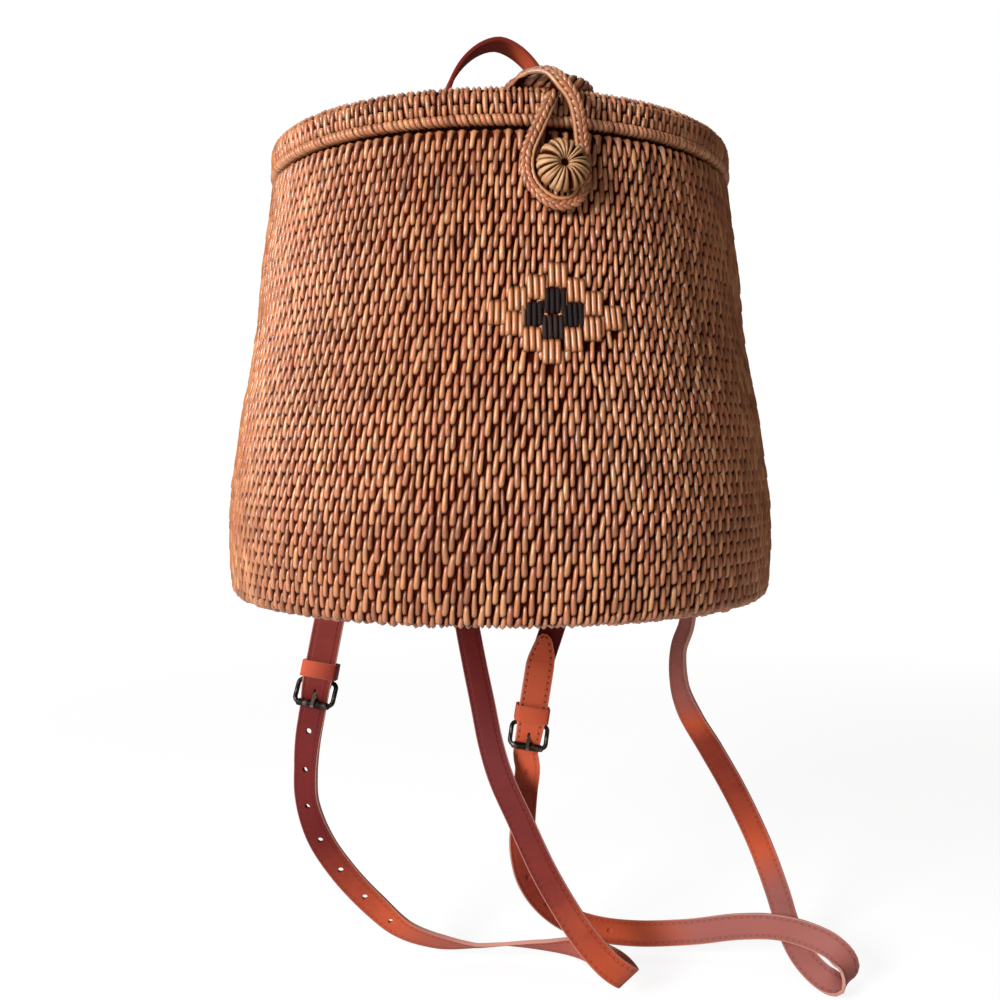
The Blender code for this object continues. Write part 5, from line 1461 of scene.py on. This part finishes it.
def make_keeper(side):
    """A rounded leather band that holds the strap to its tab."""
    fold = BAR_RADIUS + FOLD_GAP + LEATHER_THICKNESS
    half = sizes().strap_width / 2 + KEEPER_SIDE_CLEARANCE + KEEPER_THICKNESS / 2
    low = -fold - KEEPER_CLEARANCE - KEEPER_THICKNESS / 2
    high = fold + LEATHER_GAP + LEATHER_THICKNESS + KEEPER_CLEARANCE + KEEPER_THICKNESS / 2
    keeper = rounded_loop(f"keeper_{side}", half * 2, low, high, KEEPER_CORNER, 4)
    bpy.ops.mesh.select_all(action="SELECT")
    for _ in range(4):
        bpy.ops.mesh.extrude_region_move(TRANSFORM_OT_translate={"value": (0, 0, KEEPER_LENGTH / 4)})
    bpy.ops.mesh.select_all(action="SELECT")
    bpy.ops.mesh.normals_make_consistent(inside=False)
    closed()
    applied(keeper, "SOLIDIFY", thickness=KEEPER_THICKNESS - 0.0001, offset=0.0, use_even_offset=True)
    applied(keeper, "BEVEL", width=0.00035, segments=2, limit_method="ANGLE", angle_limit=math.radians(60))
    places = points_of(keeper)
    inset = np.minimum(places[:, 2], KEEPER_LENGTH - places[:, 2])
    # Painted light across the keeper: its tone runs from one side to the other.
    mark(
        keeper, tone=np.interp(places[:, 0], (-half, half), KEEPER_TONES[side]), sewn=0.0, raw=0.4,
        edge=np.clip((0.0006 - inset) / 0.0005, 0.0, 1.0), seam=inset + 0.01,
    )
    lay_uv(keeper, np.stack([places[:, 2], places[:, 0] + places[:, 1]], axis=1))
    raised = Matrix.Translation((0, -KEEPER_OFFSET, 0)) @ Matrix.Rotation(math.pi / 2, 4, "X")
    keeper.data.transform(buckle_frame(side) @ raised)
    smoothed(keeper, 45)
    in_leather(keeper, f"keeper_{side}", f"strap_keeper_{side}")


def make_buckles():
    for side in SIDES:
        make_buckle(side)


def make_buckle(side):
    """A round-cornered wire frame, bent from one bar."""
    across = FRAME_INNER_WIDTH + BAR_RADIUS * 2
    wire = rounded_loop(f"buckle_{side}", across, 0.0, BAR_SPACING, FRAME_CORNER * 0.85, 6)
    closed()
    only(wire)
    bpy.ops.object.convert(target="CURVE")
    wire = bpy.context.active_object
    wire.data.bevel_depth = BAR_RADIUS + FRAME_SWELL
    wire.data.bevel_resolution = 4
    for point in wire.data.splines[0].points:
        point.radius = FAR_BAR_SHARE if point.co.y > BAR_SPACING * 0.97 else BAR_SHARE
    bpy.ops.object.convert(target="MESH")
    wire = bpy.context.active_object
    wire.data.transform(buckle_frame(side) @ Matrix.Rotation(FRAME_TILT, 4, "X"))
    wire.data.shade_smooth()
    dressed(wire, f"frame_{side}", "antique_metal", "antique_metal_worn", f"buckle_frame_{side}")


def make_bands():
    """Both shoulder straps with their tabs and keepers."""
    for side in SIDES:
        make_strap(side)
        make_tab(side)
        make_keeper(side)


def handle_stations():
    """The handle's route: flat feet on the lid, and an arch between them."""
    lift = LEATHER_THICKNESS / 2 + HANDLE_GAP
    foot = (HANDLE_FOOT_REACH, HANDLE_RIVET_REACH, HANDLE_FOOT_BEND)
    places = [(reach, lid_surface(reach) + lift) for reach in foot]
    base = lid_surface(HANDLE_FOOT_BEND)
    places += [(HANDLE_FOOT_BEND * reach, base + HANDLE_HEIGHT * rise) for reach, rise in HANDLE_ARCH_SHARES]
    right = [(reach, HANDLE_SETBACK, height) for reach, height in places]
    left = [(-x, y, z) for x, y, z in reversed(right)]
    return [(point, (0, 1, 0)) for point in right + [(0.0, HANDLE_SETBACK, base + HANDLE_HEIGHT)] + left]


def make_handle():
    """The leather handle arched over the lid."""
    rings = sampled_route(handle_stations(), 0.002)
    handle = leather_strip(
        "handle", rings, HANDLE_WIDTH, LEATHER_THICKNESS, HANDLE_TONES, sewn=((0.0, 0.0),), raw=HANDLE_EDGE_SHADE
    )
    in_leather(handle, "lid", "lid_handle")


# Closure
def strand_rings(places, outward):
    """Rings through places whose faces look along the outward ways."""
    steps = zip(places, outward, ways_along(places))
    return squared_up([(place, out.cross(along)) for place, out, along in steps])


def bent_copies(name, form, courses):
    """Bend a copy of a form along each course: (rings, widths, depth, tone)."""
    x, y, z = points_of(form).T
    travel = z + 0.5
    places, tones = [], []
    for rings, widths, depth, tone in courses:
        route, across, outward = read_rings(rings, travel * rings[-1][3])
        wide = np.interp(travel, np.linspace(0, 1, len(widths)), widths)
        places.append(route - across * (x * wide)[:, None] + outward * (y * depth)[:, None])
        tones.append(tone)
    return copies_joined(name, form, np.array(places), {"tone": np.array(tones), "stain": np.zeros(len(tones))})


def strand_form(name, steps, taper=0.6):
    """An even strand with rounded ends."""
    sections = [(-0.5, taper * 0.6, taper * 0.5, 0.0), (-0.46, taper + (1 - taper) * 0.5, 0.8, 0.0)]
    sections += [(-0.42 + 0.84 * index / steps, 1.1, 1.0, 0.0) for index in range(steps + 1)]
    sections += [(0.46, taper + (1 - taper) * 0.5, 0.8, 0.0), (0.5, taper * 0.6, taper * 0.5, 0.0)]
    return drawn_form(name, sections)


def make_rosette():
    """The knobbly braided ring that the loop springs from."""
    rng = np.random.default_rng(5)
    place = Matrix.Translation(ROSETTE_PLACE - Vector((0, 0, ROSETTE_SINK)))
    tilt = place @ Matrix.Rotation(ROSETTE_TILT, 4, "X")
    core = fresh(
        "rosette_core", bpy.ops.mesh.primitive_torus_add, major_radius=ROSETTE_RADIUS,
        minor_radius=ROSETTE_CORE_RADIUS, major_segments=48, minor_segments=12,
    )
    core.data.transform(tilt)
    core.data.shade_smooth()
    dressed(core, "lid", "cane_rim", "coil_stain_and_shade", "loop_rosette")
    form = strand_form("knob_form", 4)
    courses = []
    for shift, low, high, lean in ((0.0, -100, 60, 1.0), (0.5, 200, 40, -1.0)):
        for index in range(ROSETTE_KNOBS):
            places, outward = [], []
            turn = (index + shift) / ROSETTE_KNOBS * 2 * math.pi
            for share in np.linspace(0.0, 1.0, 7):
                tube = math.radians(low + (high - low) * share)
                around = turn + (share - 0.5) * ROSETTE_LEAN * lean
                bulge = ROSETTE_CORE_RADIUS + 0.0005 * math.sin(math.pi * share)
                radial = Vector((math.cos(around), math.sin(around), 0.0))
                out = radial * math.cos(tube) + Vector((0, 0, math.sin(tube)))
                places.append(tilt @ (radial * ROSETTE_RADIUS + out * bulge))
                outward.append(tilt.to_3x3() @ out)
            tone = float(rng.random()) * 0.8
            courses.append((strand_rings(places, outward), (0.0024, 0.0033, 0.0024), 0.0019, tone))
    knobs = bent_copies("rosette_braid", form, courses)
    dropped(form)
    dressed(knobs, "lid", "cane_rim", "varnished_cane")


def loop_rings():
    """The loop's route over the rosette and down round the button."""
    points = [ROSETTE_PLACE + Vector(share) * ROSETTE_RADIUS for share in LOOP_OVER_SHARES]
    drop = LID_TOP - BUTTON_HEIGHT
    for side_share, drop_share, lift_share in LOOP_HANG_SHARES:
        side = side_share * BUTTON_RADIUS
        height = LID_TOP - drop * drop_share
        wall = max(wall_radius(height), LOOP_CLEAR_RADIUS)
        reach = wall + LOOP_CLEARANCE + LOOP_THICKNESS / 2 + LOOP_THICKNESS * lift_share
        points.append(Vector((side, -math.sqrt(reach * reach - side * side), height)))
    over = len(LOOP_OVER_SHARES)
    stations = []
    for index, (point, along) in enumerate(zip(points, ways_along(points))):
        out = Vector((point.x, point.y, 0)).normalized()
        if index < over:
            out = (out + Vector((0, 0, over - index))).normalized()
        stations.append((point, out.cross(along)))
    return sampled_route(stations, LOOP_STEP)


def ring_between(rings, distance):
    """Place, across and outward at one distance along the rings."""
    return [Vector(found[0]) for found in read_rings(rings, [distance])]


def make_loop():
    """The closure loop: a flat herringbone braid beside a smooth inner cane."""
    rng = np.random.default_rng(9)
    rings = loop_rings()
    total = rings[-1][3]
    core = flat_strip("loop_core", total, LOOP_WIDTH * 0.84, 0.002)
    applied(core, "SOLIDIFY", thickness=0.0014, offset=0.0)
    bend_along(core, rings)
    core.data.shade_smooth()
    dressed(core, "loop", "cane_rim", "coil_stain_and_shade", "closure_loop")
    form = strand_form("turn_form", 3)
    courses = []
    for begin, end, lag in LOOP_STRANDS:
        for index in range(int((total - LOOP_TURN_LENGTH) / LOOP_TURN_PITCH)):
            start = (index + lag) * LOOP_TURN_PITCH + LOOP_TURN_START
            places, outward = [], []
            for share in np.linspace(0.0, 1.0, 5):
                place, across, out = ring_between(rings, start + LOOP_TURN_LENGTH * share)
                lift = 0.0006 + 0.0006 * math.sin(math.pi * share)
                places.append(place + across * LOOP_WIDTH * (begin + (end - begin) * share) + out * lift)
                outward.append(out)
            widths = np.array((0.0017, 0.0026, 0.0017)) * (1.0 + rng.normal(0.0, 0.08))
            courses.append((strand_rings(places, outward), widths, 0.0020, float(rng.random()) * 0.7))
    braid = bent_copies("loop_braid", form, courses)
    dropped(form)
    dressed(braid, "loop", "cane_rim", "varnished_cane")
    steps = int(total / 0.0015)
    edge = [ring_between(rings, total * step / steps) for step in range(steps + 1)]
    places = [place - across * LOOP_WIDTH * 0.36 + out * 0.0004 for place, across, out in edge]
    form = strand_form("edge_form", steps)
    course = (strand_rings(places, [out for _, _, out in edge]), (0.0018, 0.0018), 0.0021, 0.9)
    cane = bent_copies("loop_edge", form, [course])
    dropped(form)
    dressed(cane, "loop", "cane_rim", "pale_cane")


def button_matrix():
    """Z out of the wall at the button's back."""
    outward = Vector((0, -1, -wall_slope(BUTTON_HEIGHT))).normalized()
    seat = Vector((BUTTON_SHIFT, -wall_radius(BUTTON_HEIGHT), BUTTON_HEIGHT + BUTTON_SHIFT))
    turn = outward.to_track_quat("Z", "Y").to_matrix().to_4x4()
    return Matrix.Translation(seat + outward * BUTTON_STANDOFF) @ turn


def make_button():
    """The button: straw wound from its eye over the dome and round behind."""
    rng = np.random.default_rng(3)
    frame = button_matrix()
    radius, thick = BUTTON_RADIUS, BUTTON_THICKNESS
    core = turned_shell("button_core", (
        (0.0, thick * 0.55), (0.0013, thick * 0.60), (0.003, thick * 0.80), (radius * 0.5, thick * 0.84),
        (radius * 0.8, thick * 0.62), (radius * 0.90, thick * 0.34), (radius * 0.78, 0.0008), (0.0, 0.0008),
    ), 40, 40)
    core.data.transform(frame)
    dressed(core, "basket", "straw", "coil_stain_and_shade", "closure_button")
    form = strand_form("wedge_form", 7, 0.9)
    path = [Vector((reach, 0, height)) for reach, height in (
        (0.0022, thick * 0.58), (0.0026, thick * 0.82), (0.0038, thick * 0.97), (radius * 0.47, thick * 0.98),
        (radius * 0.66, thick * 0.87), (radius * 0.83, thick * 0.68), (radius * 0.93, thick * 0.42),
        (radius * 0.90, thick * 0.16), (radius * 0.72, thick * 0.03), (radius * 0.4, thick * 0.0),
    )]
    widths = np.array([2 * math.pi * max(point.x, 0.0026) / BUTTON_STRAWS * 0.92 for point in path])
    courses = []
    for index in range(BUTTON_STRAWS):
        turn = index / BUTTON_STRAWS * 2 * math.pi + rng.normal(0.0, 0.05)
        lean = rng.normal(0.04, 0.07)
        places, outward = [], []
        for step, (point, along) in enumerate(zip(path, ways_along(path))):
            around = turn + lean * step / len(path)
            radial = Vector((math.cos(around), math.sin(around), 0))
            places.append(frame @ (radial * point.x + Vector((0, 0, point.z))))
            outward.append(frame.to_3x3() @ (radial * -along.z + Vector((0, 0, along.x))))
        wide = widths * (1.0 + rng.normal(0.0, 0.14))
        courses.append((strand_rings(places, outward), wide, 0.0021, float(rng.random())))
    winding = bent_copies("button_winding", form, courses)
    dropped(form)
    dressed(winding, "basket", "straw", "wound_straw")


def make_hinge_rings():
    """Wrapped cane rings through both rims at the back."""
    for side in SIDES:
        low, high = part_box(f"hinge_ring_{side}")
        ring = fresh(
            f"ring_{side}", bpy.ops.mesh.primitive_torus_add, major_radius=HINGE_RING_RADIUS,
            minor_radius=HINGE_CANE_RADIUS, major_segments=40, minor_segments=10,
        )
        places = points_of(ring)
        turns = np.arctan2(places[:, 1], places[:, 0])
        mark(ring, tone=0.5 + 0.4 * np.sin(turns * 9), stain=0.0)
        lay_uv(ring, np.stack([np.full(len(places), 0.5), (turns / (2 * math.pi) * 20) % 1.0], axis=1))
        ring.data.transform(Matrix.Translation((low + high) / 2) @ Matrix.Rotation(math.pi / 2, 4, "Y"))
        ring.data.shade_smooth()
        dressed(ring, "basket", "cane_rim", "pale_cane", f"hinge_ring_{side}")


# Rivets
def make_rivets():
    for body, names in FRAME["record"]["behaviour"]["bodies"].items():
        for name in names:
            if "_rivet_" in name:
                make_rivet(name, body)


def rivet_way(name, centre):
    """The rivet's own direction: out of the wall, or up through the lid."""
    if name.startswith("handle"):
        slope = 2 * LID_DOME_RISE * centre.x / (RIM_RADIUS * RIM_RADIUS)
        return Vector((slope, 0, 1)).normalized()
    radial = Vector((centre.x, centre.y, 0)).normalized()
    return (radial - Vector((0, 0, wall_slope(centre.z)))).normalized()


def make_rivet(name, body):
    """A round-headed rivet with a domed cap on each side of what it holds."""
    low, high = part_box(name)
    centre = (low + high) / 2
    way = rivet_way(name, centre)
    reach = points_of(FRAME["nodes"][name]) @ np.array(way)
    bottom, top = float(reach.min()), float(reach.max())
    half = (top - bottom) / 2 - RIVET_CAP_HEIGHT
    cap = [(RIVET_CAP_RADIUS * wide, -half - RIVET_CAP_HEIGHT * rise) for wide, rise in RIVET_CAP_SHARES]
    outline = cap + [(RIVET_SHANK_RADIUS, -half), (RIVET_SHANK_RADIUS, half)]
    outline += [(radius, -height) for radius, height in reversed(cap)]
    rivet = turned_shell(f"cap_{name}", outline, 24, 24)
    middle = centre + way * ((bottom + top) / 2 - centre.dot(way))
    rivet.data.transform(Matrix.Translation(middle) @ way.to_track_quat("Z", "Y").to_matrix().to_4x4())
    smoothed(rivet, 40)
    dressed(rivet, body, "antique_metal", "antique_metal_worn", name)


# Stage
def make_floor():
    """A round floor just below the straps' lowest curl."""
    height = min(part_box(f"shoulder_strap_{side}")[0].z for side in SIDES) - FLOOR_DROP
    circle = bpy.ops.mesh.primitive_circle_add
    floor = fresh("floor", circle, vertices=96, radius=6.0, fill_type="NGON", location=(0, 0, height))
    bpy.ops.object.transform_apply(location=True)
    floor.data.materials.append(finished("pale_floor"))


def make_lamps():
    """Soft square lamps, each looking at a place."""
    for name, place, aim, size, power, colour in LAMPS:
        lamp = bpy.data.lights.new(name, "AREA")
        lamp.size = size
        lamp.energy = power
        lamp.color = colour
        holder = bpy.data.objects.new(name, lamp)
        holder.location = place
        holder.rotation_euler = (Vector(aim) - Vector(place)).to_track_quat("-Z", "Y").to_euler()
        bpy.context.scene.collection.objects.link(holder)


def make_world():
    """White behind the object, and a plain soft light on it."""
    world = bpy.data.worlds.new("studio")
    studio = Nodes(world)
    soft = studio.tree.nodes["Background"]
    studio.connect(SOFT_LIGHT_COLOUR, soft.inputs["Color"])
    studio.connect(SOFT_LIGHT_STRENGTH, soft.inputs["Strength"])
    white = studio.node("ShaderNodeBackground", None, {"Color": WHITE, "Strength": 1.0})
    studio.shown_over(soft, white, "World Output")
    bpy.context.scene.world = world


def make_camera():
    """The photograph's viewpoint: a little left of the front and level with the body."""
    camera = bpy.data.objects.new("camera", bpy.data.cameras.new("camera"))
    camera.data.lens = CAMERA_LENS_MM
    camera.data.sensor_width = CAMERA_SENSOR_MM
    camera.data.clip_start = 0.01
    camera.location = CAMERA_PLACE
    camera.rotation_euler = (math.pi / 2 - CAMERA_DIP, 0.0, -CAMERA_TURN)
    bpy.context.scene.collection.objects.link(camera)
    bpy.context.scene.camera = camera
    bpy.context.scene.view_settings.view_transform = "Standard"


class BasketStep:
    """An operator that runs its makers."""

    def execute(self, context):
        for make in self.makers:
            make()
        return {"FINISHED"}


class BASKET_OT_stage(BasketStep, bpy.types.Operator):
    """Set the floor, the lamps, the world and the camera"""

    bl_idname = "basket.stage"
    bl_label = "Set Stage"
    makers = (make_floor, make_world, make_lamps, make_camera)


class BASKET_OT_body(BasketStep, bpy.types.Operator):
    """Weave the wall, the base and the dyed diamond"""

    bl_idname = "basket.body"
    bl_label = "Weave Body"
    makers = (make_body,)


class BASKET_OT_lid(BasketStep, bpy.types.Operator):
    """Weave the lid and wrap its lower coil"""

    bl_idname = "basket.lid"
    bl_label = "Weave Lid"
    makers = (make_lid, make_hinge_rings)


class BASKET_OT_closure(BasketStep, bpy.types.Operator):
    """Braid the rosette and the loop, and wind the button"""

    bl_idname = "basket.closure"
    bl_label = "Make Closure"
    makers = (make_rosette, make_loop, make_button)


class BASKET_OT_leather(BasketStep, bpy.types.Operator):
    """Cut and bend the straps, tabs, keepers and handle"""

    bl_idname = "basket.leather"
    bl_label = "Cut Leather"
    makers = (make_bands, make_handle)


class BASKET_OT_metal(BasketStep, bpy.types.Operator):
    """Bend the buckles, turn the rivets and refinish the prongs"""

    bl_idname = "basket.metal"
    bl_label = "Make Metal"
    makers = (make_buckles, make_rivets, refinish_nodes)


class BASKET_PT_sidebar(bpy.types.Panel):
    """Sizes, colours and steps of the pack basket"""

    bl_idname = "BASKET_PT_sidebar"
    bl_label = "Pack Basket"
    bl_space_type = "VIEW_3D"
    bl_region_type = "UI"
    bl_category = "Basket"

    def draw(self, context):
        layout = self.layout
        for group in (context.scene.pack_basket_sizes, context.scene.pack_basket_colours):
            box = layout.box()
            for key in group.__annotations__:
                box.prop(group, key)
        for step in STEPS:
            layout.operator(step.bl_idname)


GROUPS = (PackBasketSizes, PackBasketColours)
STEPS = (BASKET_OT_stage, BASKET_OT_body, BASKET_OT_lid, BASKET_OT_closure, BASKET_OT_leather, BASKET_OT_metal)


def register():
    for entry in (*GROUPS, *STEPS, BASKET_PT_sidebar):
        bpy.utils.register_class(entry)
    bpy.types.Scene.pack_basket_sizes = bpy.props.PointerProperty(type=PackBasketSizes)
    bpy.types.Scene.pack_basket_colours = bpy.props.PointerProperty(type=PackBasketColours)


def unregister():
    del bpy.types.Scene.pack_basket_colours
    del bpy.types.Scene.pack_basket_sizes
    for entry in reversed((*GROUPS, *STEPS, BASKET_PT_sidebar)):
        bpy.utils.unregister_class(entry)


def main():
    register()
    bpy.ops.basket.stage()
    bpy.ops.basket.body()
    bpy.ops.basket.lid()
    bpy.ops.basket.closure()
    bpy.ops.basket.leather()
    bpy.ops.basket.metal()


if __name__ == "__main__":
    main()
